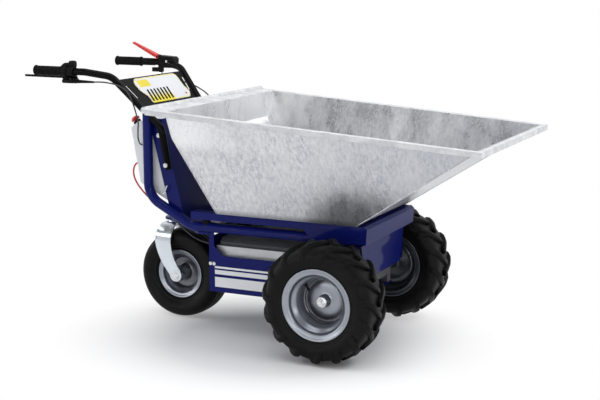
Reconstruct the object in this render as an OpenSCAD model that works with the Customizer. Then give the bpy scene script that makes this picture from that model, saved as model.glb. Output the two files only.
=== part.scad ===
// Electric walk-behind tipping buggy on two lugged drive wheels and one rear caster.
// Built about the drive axle: +X is forward, +Y is the left side, +Z is up, z = 0 is the ground.

/* [Drive wheels] */
// Radius of a drive tyre over its lugs
drive_r = 203; // [195:1:210]
// Width of a drive tyre
drive_w = 150; // [140:1:156]
// Gap between a drive tyre and the side skirt
wheel_gap = 43.5; // [40:0.5:48]
// Height of a tread lug
lug_h = 13; // [10:1:18]
// Number of lugs in each of the two rows
lug_count = 15; // [12:1:18]
// Width of a lug along the tread
lug_w = 21; // [17:1:26]
// Advance of a lug from the shoulder to the middle of the tread
lug_skew = 62; // [50:1:68]
// Radius of the rim over its flanges
rim_flange_r = 120; // [116:1:124]
// Radius of the seat of the tyre bead
rim_bead_r = 98; // [95:1:102]
// Radius of the well of the rim
rim_well_r = 82; // [78:1:86]
// Half the width of the rim over its flanges
rim_half_w = 65; // [60:1:68]
// Thickness of the rim sheet
rim_wall = 3.5; // [2.5:0.5:4]
// Distance from the middle of the wheel in to the middle of the wheel disc
disc_inset = 22; // [16:1:23]
// Radius of a drive axle
axle_r = 12.5; // [11:0.5:14]

/* [Caster] */
// Radius of the caster tyre
caster_r = 162.5; // [158:0.5:166]
// Width of the caster tyre
caster_w = 124; // [116:1:128]
// Place of the caster axle behind the drive axle
caster_back = 701; // [690:1:712]
// Distance of the swivel axis behind the caster axle
caster_trail = 50; // [42:1:56]
// Radius of the caster rim over its flanges
caster_flange_r = 90; // [86:1:94]
// Radius of the bead seat of the caster rim
caster_bead_r = 76; // [73:1:78]
// Half the width of the caster rim
caster_rim_half_w = 47; // [44:1:50]
// Distance between the fork legs
fork_gap = 140; // [136:1:146]
// Thickness of the fork plate
fork_t = 8; // [6:1:10]
// Radius of the caster axle
caster_axle_r = 10; // [8:1:12]
// Radius of the kingpin
kingpin_r = 10; // [8:1:12]

/* [Hopper] */
// Height of the hopper floor above the ground
floor_z = 437; // [432:1:444]
// Place of the front edge of the hopper floor
floor_front = 71; // [60:1:80]
// Place of the rear edge of the hopper floor
floor_rear = -445; // [-460:1:-430]
// Overhang of the hopper floor past the cradle
floor_over = 4; // [2:0.5:10]
// Thickness of the hopper sheet
sheet = 3; // [2:0.5:4]
// Flare of the hopper sides from upright
side_flare = 25; // [22:0.5:27]
// Forward reach of the front plate
front_reach = 451; // [430:1:470]
// Rise of the front plate to the rim
front_rise = 293; // [280:1:300]
// Backward reach of the rear plate
rear_reach = 96; // [86:1:104]
// Rise of the rear plate to its fold
fold_rise = 272; // [262:1:282]
// Rise of the rear plate to the rim
rear_rise = 366; // [358:1:374]
// Width of the folded rim along the sides
rim_fold = 28; // [22:1:32]
// Width of the folded rim at the pouring lip
lip_fold = 15; // [10:1:20]
// Width of the folded rim at the back
back_fold = 64; // [56:1:70]
// Height of the turned-down edge of the rim
rim_drop = 18; // [14:1:24]
// Radius of the rolled edge along the back of the rim
roll_r = 11; // [9:0.5:13]

/* [Tipping cradle] */
// Height of the cradle rails
rail_h = 25; // [22:1:28]
// Thickness of the cradle plate
cradle_t = 4; // [3:0.5:5]
// Clearance of the cradle outside the frame tubes
cradle_clear = 6; // [5:0.5:9]
// Width of the top flange of a rail
rail_flange = 40; // [32:1:46]
// Place of the rear end of the rails
rail_rear = -550; // [-556:1:-540]
// Place where the rails step down to the hinge cheeks
cheek_rear = -87; // [-100:1:-70]
// Height of the hinge cheeks and of the front beam
beam_h = 61; // [58:1:64]
// Place of the upper front edge of the front beam
beam_front = 108; // [106:1:112]
// Place of the tipping axis ahead of the drive axle
tip_x = 84; // [82:1:86]
// Height of the tipping axis
tip_z = 392; // [390:1:394]
// Radius of the hinge rod
tip_rod_r = 10; // [8:0.5:11]

/* [Frame] */
// Radius of the frame tubes
tube_r = 17; // [15:0.5:18]
// Wall of the frame tubes
tube_wall = 2.5; // [2:0.5:4]
// Distance of the middle of a side tube in from the inner face of the skirts
tube_inset = 2; // [1:0.5:4]
// Height of the middle of the lower run of the side tubes
tube_z = 382; // [380:1:384]
// Place of the upright run of the side tubes
post_x = -732; // [-738:1:-726]
// Height of the corner where the upright run would meet the slope
knee_z = 474; // [466:1:482]
// Place of the corner where the slope would meet the lower run
heel_x = -559; // [-566:1:-552]
// Place of the front end of the side tubes
tube_front = 40; // [34:1:44]
// Radius of the bends of the side tubes
tube_bend = 80; // [60:1:90]
// Drop of the side skirts below the drive axle
skirt_drop = 46; // [40:1:50]
// Top edge of the side skirts
skirt_top = 286; // [276:1:296]
// Rear edge of the side skirts
skirt_rear = -489; // [-494:1:-484]
// Front edge of the side skirts
skirt_front = 72; // [68:1:74]
// Thickness of the chassis plates
plate = 3; // [2:0.5:4]
// Gap between the battery case and a skirt
skirt_gap = 15; // [11:0.5:18]
// Bottom of the front plate
front_plate_bottom = 245; // [235:1:260]

/* [Batteries] */
// Length of the battery case
case_l = 350; // [330:1:360]
// Half the width of the battery case
case_half = 185; // [182:1:190]
// Height of the battery case below its lid
case_h = 158; // [150:1:164]
// Height of the battery lid
lid_h = 26; // [20:1:32]

/* [Rear panel and controller] */
// Lean of the back panel
panel_lean = 14; // [12:0.2:15]
// Place of the foot of the back panel
panel_foot = -600; // [-604:1:-596]
// Top of the back panel
panel_top = 748; // [735:1:756]
// Depth of the side flanges of the back panel
panel_flange = 50; // [44:1:54]
// Gap between the controller case and a flange of the back panel
box_gap = 6.5; // [5:0.5:12]
// Wall of the controller case
box_wall = 3; // [2:0.5:4]
// Top of the controller case
box_top = 734; // [724:1:738]
// Depth of the controller case ahead of its cover
box_split = 80; // [70:1:90]

/* [Handles] */
// Radius of the handle tubes
handle_r = 12.5; // [11:0.5:13]
// Wall of the handle tubes
handle_wall = 2; // [1.5:0.5:3]
// Splay of a grip outside its frame tube
grip_splay = 64; // [58:1:70]
// Height of the grips
grip_z = 908; // [902:1:914]
// Place of the rear end of the grips
grip_end = -1153; // [-1160:1:-1146]
// Length of a grip
grip_l = 114; // [106:1:116]
// Radius of a grip
grip_r = 16.5; // [15.5:0.5:18]
// Travel of the hold-to-run lever above the grip, as its angle at rest
lever_rise = 25; // [20:1:28]
// Length of the hold-to-run lever
lever_l = 120; // [112:1:126]
// Length of the brake lever
brake_l = 218; // [206:1:224]

/* [Hidden] */
$fn = 64;
running = 0.05;
seat = 0.3;

// Geometry helpers
function unit(v) = v / norm(v);
function turn(a, b, c) = acos(unit(b - a) * unit(c - b));
function trim(pts, i, bend) =
    (i == 0 || i == len(pts) - 1) ? 0 : bend * tan(turn(pts[i - 1], pts[i], pts[i + 1]) / 2);
function left_of(d) = [-d.y, d.x];
// Moves every side of an outline that runs anticlockwise in by t
function inset(p, t) = [for (i = [0 : len(p) - 1])
    let (n = len(p),
         u = left_of(unit(p[i] - p[(i + n - 1) % n])),
         v = left_of(unit(p[(i + 1) % n] - p[i])))
    p[i] + t * (u + v) / (1 + u * v)];

// Widths, from the batteries outwards
skirt_y = case_half + skirt_gap;
tube_y = skirt_y - tube_inset;
half_track = skirt_y + plate + wheel_gap + drive_w / 2;
cradle_half = tube_y + tube_r + cradle_clear;
floor_half = cradle_half + floor_over;
grip_y = tube_y + grip_splay;

// Places shared by several pieces
skirt_bottom = drive_r - skirt_drop;
fork_x = -caster_back - caster_trail;
crown_z = 350;
bridge_t = 8;
race_h = 7;
bridge_z = crown_z + race_h;
tube_low = tube_z - tube_r;
pan_z = skirt_bottom + plate;
panel_t = plate;
panel_half = tube_y - handle_r;
box_half = panel_half - panel_t - box_gap;
beam_bottom = floor_z - beam_h;
battery_x = skirt_rear + plate + 16;

// Bends of one handle, from its foot to the end of the grip
grip_cap = 3;
handle_splay = 38;
handle_path = [[-650, -tube_y, 574], [-676, -tube_y, 720], [-752, -tube_y, 783],
    [-850, -tube_y - handle_splay, 893], [-945, -grip_y, grip_z], [grip_end + grip_cap, -grip_y, grip_z]];
handle_bend = 60;
post_top = 782;
tube_path = [[post_x, -tube_y, post_top], [post_x, -tube_y, knee_z],
    [heel_x, -tube_y, tube_z], [tube_front, -tube_y, tube_z]];
// Bolt through the foot of a handle
foot_bolt_up = 0.11;
foot_bolt = let (p = handle_path[0] + foot_bolt_up * (handle_path[1] - handle_path[0])) [p.x, p.z];

// Overall length, which sets the origin
lever_in = 30;
lever_pivot = [-1007, -grip_y + lever_in];
brake_tip = lever_pivot.x - brake_l;
lip_x = floor_front + front_reach + lip_fold;
mid_x = (lip_x + brake_tip) / 2;

// Extrudes an X-Z outline across the machine from y0 to y1
module across(y0, y1) {
    translate([0, y1, 0]) rotate([90, 0, 0]) linear_extrude(y1 - y0) children();
}

// Extrudes a Y-Z outline along the machine from x0 to x1
module along(x0, x1) {
    translate([x0, 0, 0]) rotate([90, 0, 90]) linear_extrude(x1 - x0) children();
}

// Round pin across the machine
module pin_y(x, z, r, y0, y1) {
    translate([x, y0, z]) rotate([-90, 0, 0]) cylinder(r = r, h = y1 - y0);
}

// Straight run of a section between two points
module run(a, b) {
    d = b - a;
    translate(a) rotate([0, acos(d.z / norm(d)), atan2(d.y, d.x)]) linear_extrude(norm(d)) children();
}

// Turned section that joins two straight runs
module elbow(a, b, c, bend) {
    u = unit(b - a);
    v = unit(c - b);
    angle = acos(u * v);
    n = (v - u * cos(angle)) / sin(angle);
    w = cross(-n, u);
    o = b - u * bend * tan(angle / 2) + n * bend;
    multmatrix([[-n.x, u.x, w.x, o.x], [-n.y, u.y, w.y, o.y], [-n.z, u.z, w.z, o.z], [0, 0, 0, 1]])
        rotate_extrude(angle = angle) translate([bend, 0]) children();
}

// Round section, hollow where its wall is less than its radius
module ring(r, wall) {
    difference() {
        circle(r);
        if (wall < r) circle(r - wall);
    }
}

// Round bar or tube bent along a path; each straight run ends a little inside the wall of the bend
lap = 1;
swell = 0.1;
module bent(path, bend, r, wall) {
    last = len(path) - 1;
    for (i = [0 : last - 1]) {
        d = unit(path[i + 1] - path[i]);
        from = i == 0 ? 0 : trim(path, i, bend) - lap;
        to = i + 1 == last ? 0 : trim(path, i + 1, bend) - lap;
        run(path[i] + d * from, path[i + 1] - d * to) ring(r, wall);
    }
    for (i = [1 : last - 1])
        elbow(path[i - 1], path[i], path[i + 1], bend) ring(r + swell, wall + 2 * swell);
}

// Makes a piece of the right side into its left twin
module left() { mirror([0, 1, 0]) children(); }

// Makes a piece and its twin on the other side
module both() {
    children();
    left() children();
}

// Turns a profile about the drive axle, outboard upwards in the profile, right wheel
module right_wheel() { translate([0, -half_track, drive_r]) rotate([90, 0, 0]) children(); }

// Chassis frame

module right_frame_tube() {
    low = [handle_path[1].x, handle_path[1].z];
    high = [handle_path[2].x, handle_path[2].z];
    color("darkblue") difference() {
        bent(tube_path, tube_bend, tube_r, tube_wall);
        run(handle_path[1], handle_path[2]) circle(handle_r);
        across(-tube_y - 2 * tube_r, -tube_y + 2 * tube_r) polygon([low, [low.x, high.y], high]);
    }
}

module left_frame_tube() { left() right_frame_tube(); }

cross_x = [-452, 16];
module cross_tubes() {
    color("darkblue") difference() {
        for (x = cross_x) pin_y(x, tube_z, tube_r, -tube_y, tube_y);
        for (x = cross_x) pin_y(x, tube_z, tube_r - tube_wall, -tube_y, tube_y);
        both() run(tube_path[2], tube_path[3]) circle(tube_r + running);
    }
}

front_plate_x = 76;
front_plate_half = tube_y - 2;
front_plate_taper = 34;
module front_plate() {
    color("darkblue") {
        along(front_plate_x, front_plate_x + plate)
            polygon([[-front_plate_half + front_plate_taper, front_plate_bottom],
                [front_plate_half - front_plate_taper, front_plate_bottom],
                [front_plate_half, tube_low - plate], [front_plate_half, tube_low],
                [-front_plate_half, tube_low], [-front_plate_half, tube_low - plate]]);
        translate([0, -front_plate_half, tube_low - plate])
            cube([front_plate_x, 2 * front_plate_half, plate]);
    }
}

ear_t = 10;
ear_gap = 9;
bush_l = 12;
ear_y = cradle_half - cradle_t - bush_l - ear_gap - ear_t;
ear_r = 14;
module hinge_ears() {
    color("darkblue") both() difference() {
        union() {
            pin_y(tip_x, tip_z, ear_r, ear_y, ear_y + ear_t);
            translate([tube_front, ear_y, tip_z - ear_r / 2 - 1])
                cube([tip_x - tube_front, ear_t, ear_r + 6]);
        }
        pin_y(tip_x, tip_z, tip_rod_r, ear_y - 1, ear_y + ear_t + 1);
    }
}

rod_collar = 6;
module hinge_rod() {
    color("darkblue") {
        pin_y(tip_x, tip_z, tip_rod_r, -cradle_half, cradle_half);
        both() pin_y(tip_x, tip_z, tip_rod_r + 4, ear_y - rod_collar, ear_y);
    }
}

skirt_post_w = 19;
skirt_chamfer = 34;
skirt_nose = -45;
skirt_step = drive_r + 45;
module side_skirts() {
    color("darkblue") both() across(-skirt_y - plate, -skirt_y)
        polygon([[skirt_rear, skirt_bottom], [skirt_nose, skirt_bottom], [skirt_nose, skirt_step],
            [skirt_front, skirt_step], [skirt_front, tube_low], [18, tube_low], [-60, skirt_top],
            [skirt_rear + skirt_post_w + skirt_chamfer, skirt_top],
            [skirt_rear + skirt_post_w, skirt_top + skirt_chamfer],
            [skirt_rear + skirt_post_w, tube_low], [skirt_rear, tube_low]]);
}

pan_wall_top = 350;
pan_front = 34;
module belly_pan() {
    color("darkblue") {
        translate([skirt_rear, -skirt_y, skirt_bottom])
            cube([pan_front - skirt_rear, 2 * skirt_y, plate]);
        translate([skirt_rear, -skirt_y, skirt_bottom])
            cube([plate, 2 * skirt_y, pan_wall_top - skirt_bottom]);
    }
}

// Batteries and drive

case_wall = 2;
module battery_case() {
    color("silver") difference() {
        translate([battery_x, -case_half, pan_z]) cube([case_l, 2 * case_half, case_h]);
        translate([battery_x + case_wall, -case_half + case_wall, pan_z + case_wall])
            cube([case_l - 2 * case_wall, 2 * (case_half - case_wall), case_h]);
    }
}

lid_step = 10;
lid_bevel = 14;
module battery_lid() {
    lid_z = pan_z + case_h;
    half = case_half - lid_step;
    color("gray") {
        translate([battery_x, -case_half, lid_z]) cube([case_l, 2 * case_half, case_wall]);
        along(battery_x + lid_step, battery_x + case_l - lid_step)
            polygon([[-half, lid_z + case_wall], [half, lid_z + case_wall],
                [half, lid_z + lid_h - lid_bevel], [half - lid_bevel, lid_z + lid_h],
                [-half + lid_bevel, lid_z + lid_h], [-half, lid_z + lid_h - lid_bevel]]);
    }
}

battery_gap = 6;
module batteries() {
    block_w = case_half - case_wall - battery_gap;
    color("dimgray") for (y = [-block_w - battery_gap / 2, battery_gap / 2])
        translate([battery_x + case_wall + battery_gap, y, pan_z + case_wall])
            cube([case_l - 2 * (case_wall + battery_gap), block_w, case_h - case_wall - battery_gap]);
}

gear_half = 45;
diff_r = 42;
axle_tube_r = 30;
axle_tube_end = skirt_y - 4;
bearing_r = 26;
bearing_w = 15;
motor_r = 50;
motor_gap = 10;
motor_rise = 101;
motor_x = battery_x + case_l + motor_gap + motor_r;
motor_z = min(drive_r + motor_rise, tube_low - motor_r - motor_gap);
module transaxle_housing() {
    saddle_w = 26;
    color("dimgray") difference() {
        union() {
            across(-gear_half, gear_half) {
                translate([0, drive_r]) circle(diff_r);
                translate([motor_x, motor_z]) circle(motor_r);
                polygon([[-diff_r, drive_r], [diff_r, drive_r], [motor_x + motor_r, motor_z],
                    [motor_x - motor_r, motor_z]]);
            }
            pin_y(0, drive_r, axle_tube_r, -axle_tube_end, axle_tube_end);
            both() translate([-axle_tube_r, axle_tube_end - saddle_w, pan_z])
                cube([2 * axle_tube_r, saddle_w, drive_r - pan_z]);
        }
        both() {
            pin_y(0, drive_r, bearing_r, axle_tube_end - bearing_w, axle_tube_end + 1);
            pin_y(0, drive_r, axle_r + 2, gear_half, axle_tube_end);
        }
    }
}

motor_l = 118;
brake_drum_l = 30;
brake_drum_r = 40;
module drive_motor() {
    color("gray") {
        pin_y(motor_x, motor_z, motor_r - 2, gear_half, gear_half + motor_l);
        pin_y(motor_x, motor_z, brake_drum_r, gear_half + motor_l, gear_half + motor_l + brake_drum_l);
    }
}

module axle_bearings() {
    color("silver") both() difference() {
        pin_y(0, drive_r, bearing_r, axle_tube_end - bearing_w, axle_tube_end);
        pin_y(0, drive_r, axle_r + running, axle_tube_end - bearing_w - 1, axle_tube_end + 1);
    }
}

bridge_front = skirt_rear;
bridge_wide = -530;
bridge_half = tube_y + 8;
boss_r = 30;
rib_h = 20;
rib_t = 6;
module caster_bridge() {
    rib_from = [bridge_front - 6, 132];
    rib_to = [fork_x, boss_r - rib_t];
    color("darkblue") difference() {
        union() {
            translate([0, 0, bridge_z]) linear_extrude(bridge_t) {
                polygon([[fork_x, -boss_r], [bridge_wide, -bridge_half], [bridge_front, -bridge_half],
                    [bridge_front, bridge_half], [bridge_wide, bridge_half], [fork_x, boss_r]]);
                translate([fork_x, 0]) circle(boss_r);
            }
            for (s = [-1, 1]) translate([0, 0, bridge_z + bridge_t]) linear_extrude(rib_h)
                polygon([[rib_from.x, s * rib_from.y], [rib_from.x, s * (rib_from.y + rib_t)],
                    [rib_to.x, s * (rib_to.y + rib_t)], [rib_to.x, s * rib_to.y]]);
        }
        translate([fork_x, 0, bridge_z - 1]) cylinder(r = kingpin_r, h = bridge_t + rib_h);
    }
}

kingpin_head = 8;
kingpin_nut_h = 10;
module kingpin() {
    crown_low = crown_z - fork_t;
    color("silver") translate([fork_x, 0, 0]) {
        translate([0, 0, crown_low - kingpin_nut_h])
            cylinder(r = kingpin_r, h = bridge_z + bridge_t + kingpin_head - crown_low + kingpin_nut_h);
        translate([0, 0, crown_low - seat - kingpin_nut_h])
            cylinder(r = kingpin_r + 6, h = kingpin_nut_h);
        translate([0, 0, bridge_z + bridge_t]) cylinder(r = kingpin_r + 6, h = kingpin_head, $fn = 6);
    }
}

pad_x = -500;
pad_r = 14;
module rest_pads() {
    pad_top = floor_z - cradle_t - member_h - seat;
    color("black") both() difference() {
        translate([pad_x, -tube_y, tube_z]) cylinder(r = pad_r, h = pad_top - tube_z);
        run(tube_path[2], tube_path[3]) circle(tube_r);
    }
}

// Back panel and controller

panel_foot_z = tube_z + 35;
panel_low = tube_z + 9;
// Point of the back panel at a height, set back square to its face
function panel_at(z, back) =
    [panel_foot - (z - panel_foot_z) * tan(panel_lean) - back / cos(panel_lean), z];

// Bolts through the flanges of the back panel
panel_bolt_drop = 58;
panel_bolt_at = [foot_bolt, panel_at(panel_top - panel_bolt_drop, panel_flange / 2)];
module back_panel() {
    color("darkblue") difference() {
        union() {
            across(-panel_half, panel_half)
                polygon([panel_at(panel_low, panel_t), panel_at(panel_low, 0), panel_at(panel_top, 0),
                    panel_at(panel_top, panel_t)]);
            for (y = [-panel_half, panel_half - panel_t]) across(y, y + panel_t)
                polygon([panel_at(box_low, panel_flange), panel_at(panel_low, panel_t),
                    panel_at(panel_low, 0), panel_at(panel_top, 0), panel_at(panel_top, panel_flange)]);
        }
        both() bent(tube_path, tube_bend, tube_r + running, tube_r + running);
        for (p = panel_bolt_at) pin_y(p.x, p.y, bolt_r, -panel_half - 1, panel_half + 1);
    }
}

box_low = tube_z + 46;
box_rear_top = [-783, box_top];
box_rear_high = [-813, box_top - 24];
box_rear_low = [-778, 516];
box_back = panel_t + running;
box_reach = 4 * box_split;
box_outline = [panel_at(box_low, box_back), panel_at(box_top, box_back), box_rear_top, box_rear_high,
    box_rear_low];

module box_shell() {
    difference() {
        across(-box_half, box_half) polygon(box_outline);
        across(-box_half + box_wall, box_half - box_wall) polygon(inset(box_outline, box_wall));
    }
}

// Space ahead of the joint between case and cover, or behind it
module box_part(far) {
    low = panel_at(box_low - 60, panel_t + box_split);
    high = panel_at(box_top + 60, panel_t + box_split);
    across(-box_half - 1, box_half + 1) polygon([low, low + [far, 0], high + [far, 0], high]);
}

module controller_case() {
    color("whitesmoke") intersection() {
        box_shell();
        box_part(box_reach);
    }
}

module controller_cover() {
    color("whitesmoke") intersection() {
        box_shell();
        box_part(-box_reach);
    }
}

module motor_controller() {
    width = 150;
    depth = 40;
    low = 520;
    high = 680;
    back = box_back + box_wall + running;
    color("black") across(-width / 2, width / 2)
        polygon([panel_at(low, back + depth), panel_at(low, back), panel_at(high, back),
            panel_at(high, back + depth)]);
}

// Stop button on the bevel of the cover

estop_in = 26;
estop_y = -box_half + estop_in;
estop_travel = 6;
estop_shaft_r = 7;
estop_base_h = 12;
module on_bevel() {
    d = box_rear_high - box_rear_top;
    m = (box_rear_high + box_rear_top) / 2;
    translate([m.x, estop_y, m.y]) rotate([0, atan2(d.y, -d.x), 0]) children();
}

module estop_base() {
    base_r = 14;
    color("black") on_bevel() difference() {
        cylinder(r = base_r, h = estop_base_h);
        translate([0, 0, 1]) cylinder(r = estop_shaft_r + running, h = estop_base_h);
    }
}

module estop_button() {
    cap_r = 16;
    cap_h = 11;
    cap_z = estop_base_h + estop_travel + seat;
    color("red") on_bevel() {
        translate([0, 0, 1.3 + estop_travel]) cylinder(r = estop_shaft_r, h = cap_z - estop_travel);
        translate([0, 0, cap_z]) rotate_extrude() intersection() {
            translate([0, -cap_r * 0.4]) circle(cap_r * 1.2);
            square([cap_r, cap_h]);
        }
    }
}

// Handles

bolt_r = 4;
bolt_head_r = 8;
bolt_head_h = 5;

module right_handle_tube() {
    color("black") difference() {
        bent(handle_path, handle_bend, handle_r, handle_wall);
        pin_y(foot_bolt.x, foot_bolt.y, bolt_r, -tube_y - handle_r - 1, -tube_y + handle_r + 1);
    }
}

module left_handle_tube() { left() right_handle_tube(); }

module grips() {
    ring_r = grip_r + 2;
    ring_w = 4;
    color("black") both() difference() {
        translate([grip_end, -grip_y, grip_z]) rotate([0, 90, 0]) {
            cylinder(r = grip_r, h = grip_l);
            cylinder(r = ring_r, h = ring_w);
            translate([0, 0, grip_l - ring_w]) cylinder(r = ring_r, h = ring_w);
        }
        translate([grip_end + grip_cap, -grip_y, grip_z]) rotate([0, 90, 0])
            cylinder(r = handle_r, h = grip_l);
    }
}

// Fascia between the handle tubes

fascia_base = [handle_path[2].x, 0, handle_path[2].z];
fascia_run = [handle_path[3].x - handle_path[2].x, handle_path[3].z - handle_path[2].z];
fascia_dir = unit(fascia_run);
fascia_splay = (handle_path[2].y - handle_path[3].y) / norm(fascia_run);
fascia_low = 6;
fascia_high = 130;
fascia_t = 3;
// Half distance between the handle tubes at a height on the fascia
function fascia_half(v) = tube_y + fascia_splay * v;

// Frame of the fascia: x across, y up its slope, z out of its face
module on_fascia() {
    c = fascia_dir.y;
    s = -fascia_dir.x;
    multmatrix([[0, -s, c, fascia_base.x], [1, 0, 0, 0], [0, c, s, fascia_base.z], [0, 0, 0, 1]])
        children();
}

module fascia_plate() {
    gap_low = 44;
    gap_high = 102;
    waist = 34;
    half = [[fascia_half(fascia_low), fascia_low], [fascia_half(gap_low - 6), gap_low - 6],
        [fascia_half(gap_low) - waist, gap_low], [fascia_half(gap_high) - waist, gap_high],
        [fascia_half(gap_high + 6), gap_high + 6], [fascia_half(fascia_high), fascia_high]];
    other = [for (i = [len(half) - 1 : -1 : 0]) [-half[i].x, half[i].y]];
    color("black") difference() {
        on_fascia() translate([0, 0, -fascia_t / 2]) linear_extrude(fascia_t)
            polygon(concat(half, other));
        both() run(handle_path[2], handle_path[3]) circle(handle_r);
    }
}

cover_t = 2;
slot_count = 7;
slot_pitch = 18;
slot_w = 10;
slot_l = 46;
module fascia_cover() {
    low = fascia_low + 6;
    high = fascia_high - 6;
    outline = [[-tube_y + 86, low], [tube_y - 48, low], [tube_y - 28, low + 26], [tube_y - 41, low + 54],
        [tube_y - 38, high - 12], [tube_y - 52, high], [-tube_y + 76, high], [-tube_y + 56, high - 18],
        [-tube_y + 60, low + 58], [-tube_y + 86, low + 30]];
    slot_from = [-tube_y + 106, low + 6];
    color("white") on_fascia() translate([0, 0, fascia_t / 2]) linear_extrude(cover_t) difference() {
        polygon(outline);
        for (i = [0 : slot_count - 1]) translate(slot_from + [slot_pitch * i, 0])
            square([slot_w, slot_l]);
    }
}

pod_u = [16, 126];
pod_v = [56, 112];
pod_d = 44;
pod_wall = 3;
key_u = 98;
rocker_u = 46;
key_r = 9;
key_depth = 14;
rocker_l = 22;
rocker_w = 14;
rocker_pin_r = 2;
rocker_pin_v = pod_v[1] - 2;
pod_mid = -fascia_t / 2 - pod_d / 2;

// Pin of the direction rocker, or its bore
module rocker_axis(r, half) {
    translate([rocker_u - half, rocker_pin_v, pod_mid]) rotate([0, 90, 0]) cylinder(r = r, h = 2 * half);
}

module control_pod() {
    pocket_w = rocker_w + 1;
    pocket_l = rocker_l + 4;
    pocket_d = 12;
    color("black") on_fascia() {
        difference() {
            translate([pod_u[0], pod_v[0], pod_mid - pod_d / 2])
                cube([pod_u[1] - pod_u[0], pod_v[1] - pod_v[0], pod_d]);
            translate([key_u, pod_v[1] - key_depth, pod_mid]) rotate([-90, 0, 0])
                cylinder(r = key_r + running, h = key_depth + 1);
            translate([rocker_u - pocket_w / 2, pod_v[1] - pocket_d, pod_mid - pocket_l / 2])
                cube([pocket_w, pocket_d + 1, pocket_l]);
        }
        rocker_axis(rocker_pin_r, pocket_w / 2 + 1);
    }
}

module key_switch() {
    barrel_l = key_depth + 3;
    key = [3, 18, 16];
    color("silver") on_fascia() translate([key_u, pod_v[1] - key_depth + seat, pod_mid]) {
        rotate([-90, 0, 0]) cylinder(r = key_r, h = barrel_l);
        translate([-key.x / 2, barrel_l, -key.z / 2]) cube(key);
    }
}

module direction_rocker() {
    end = [rocker_l / 2, 4];
    low = -2;
    dip = 2;
    keel = -6;
    color("dimgray") on_fascia() difference() {
        translate([rocker_u - rocker_w / 2, pod_v[1], pod_mid]) rotate([0, 90, 0]) linear_extrude(rocker_w)
            polygon([[-end.x, low], [0, keel], [end.x, low], end, [0, dip], [-end.x, end.y]]);
        rocker_axis(rocker_pin_r + running, rocker_w);
    }
}

// Right hand controls

clamp_r = 22;
clamp_from = -1036;
clamp_to = -1012;
paddle_ring = 26;
module throttle_body() {
    color("black") difference() {
        union() {
            translate([clamp_from, -grip_y, grip_z]) rotate([0, 90, 0])
                cylinder(r = clamp_r, h = clamp_to - clamp_from);
            translate([clamp_from, -grip_y - 12, grip_z]) cube([clamp_to - clamp_from, 24, 30]);
        }
        translate([clamp_from - 1, -grip_y, grip_z]) rotate([0, 90, 0])
            cylinder(r = handle_r, h = clamp_to - clamp_from + 2);
    }
}

module thumb_throttle() {
    lobe = [12, 34];
    lobe_r = 10;
    color("black") translate([clamp_to + seat, -grip_y, grip_z]) rotate([90, 0, 90]) difference() {
        linear_extrude(paddle_ring) {
            circle(clamp_r - 3);
            translate(lobe) circle(lobe_r);
            polygon([[-12, 13], [17, 6], lobe + [lobe_r, -1], lobe + [-lobe_r, 2]]);
        }
        translate([0, 0, -1]) cylinder(r = handle_r + running, h = paddle_ring + 2);
    }
}

lever_pin_r = 4;
perch_z = 867;
perch_h = 14;
perch_l = 48;
lever_t = 7;
boot_l = 80;
module brake_perch() {
    color("black") {
        translate([0, 0, perch_z]) linear_extrude(perch_h) {
            translate([clamp_from + 2, -grip_y - 14]) square([perch_l, 42]);
            translate(lever_pivot) circle(14);
        }
        difference() {
            translate([clamp_from + 2, -grip_y - 8, perch_z + perch_h])
                cube([clamp_to - clamp_from - 4, 16, grip_z - perch_z - perch_h]);
            translate([clamp_from, -grip_y, grip_z]) rotate([0, 90, 0])
                cylinder(r = clamp_r, h = clamp_to - clamp_from);
        }
        translate([lever_pivot.x, lever_pivot.y, perch_z])
            cylinder(r = lever_pin_r, h = perch_h + lever_t + 5);
        translate([lever_pivot.x, lever_pivot.y, perch_z + perch_h + lever_t + 2 * seat])
            cylinder(r = lever_pin_r + 4, h = 4);
        translate([clamp_from + perch_l + 2, -grip_y, perch_z + perch_h / 2]) rotate([0, 90, 0])
            cylinder(r1 = 7, r2 = 3.5, h = boot_l);
    }
}

module brake_lever() {
    tip = [brake_tip + 6, lever_pivot.y + 4];
    root_r = 10;
    tip_r = 6;
    color("black") translate([0, 0, perch_z + perch_h + seat]) linear_extrude(lever_t) difference() {
        union() {
            translate(lever_pivot) circle(root_r);
            translate(tip) circle(tip_r);
            polygon([lever_pivot + [0, root_r], tip + [0, tip_r], tip - [0, tip_r],
                lever_pivot - [0, root_r]]);
        }
        translate(lever_pivot) circle(lever_pin_r + running);
    }
}

// Left hand controls

hold_pivot = [-963, grip_z + 20];
hold_pin_r = 4;
housing_half = 20;
lug_half = 7;
clevis_half = 13;
hold_root_r = 7;
housing_front = -884;
housing_rear = hold_pivot.x + 10;
housing_low = grip_z - 20;
housing_high = grip_z + 26;
bracket_l = 28;
bracket_h = 16;
post_at = [housing_rear + 5, grip_y - 12];
post_low = housing_low - 42;
post_r = 8;
module lever_housing() {
    color("black") difference() {
        union() {
            across(grip_y - housing_half, grip_y + housing_half)
                polygon([[housing_rear, housing_low], [housing_front - 2, housing_low],
                    [housing_front, housing_high - 12], [housing_front - 8, housing_high - 4],
                    [housing_rear, housing_high]]);
            across(grip_y - lug_half, grip_y + lug_half) {
                translate(hold_pivot) circle(hold_root_r + 1);
                translate(hold_pivot - [0, hold_root_r])
                    square([housing_rear - hold_pivot.x, 2 * hold_root_r + 1]);
            }
            pin_y(hold_pivot.x, hold_pivot.y, hold_pin_r, grip_y - clevis_half, grip_y + clevis_half);
            translate([housing_rear - bracket_l, grip_y - housing_half, housing_low - bracket_h])
                cube([bracket_l + 2 * post_r, 2 * post_r, bracket_h]);
            translate([post_at.x, post_at.y, post_low]) cylinder(r = post_r, h = housing_low - post_low);
        }
        left() bent(handle_path, handle_bend, handle_r, handle_r);
    }
}

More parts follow.
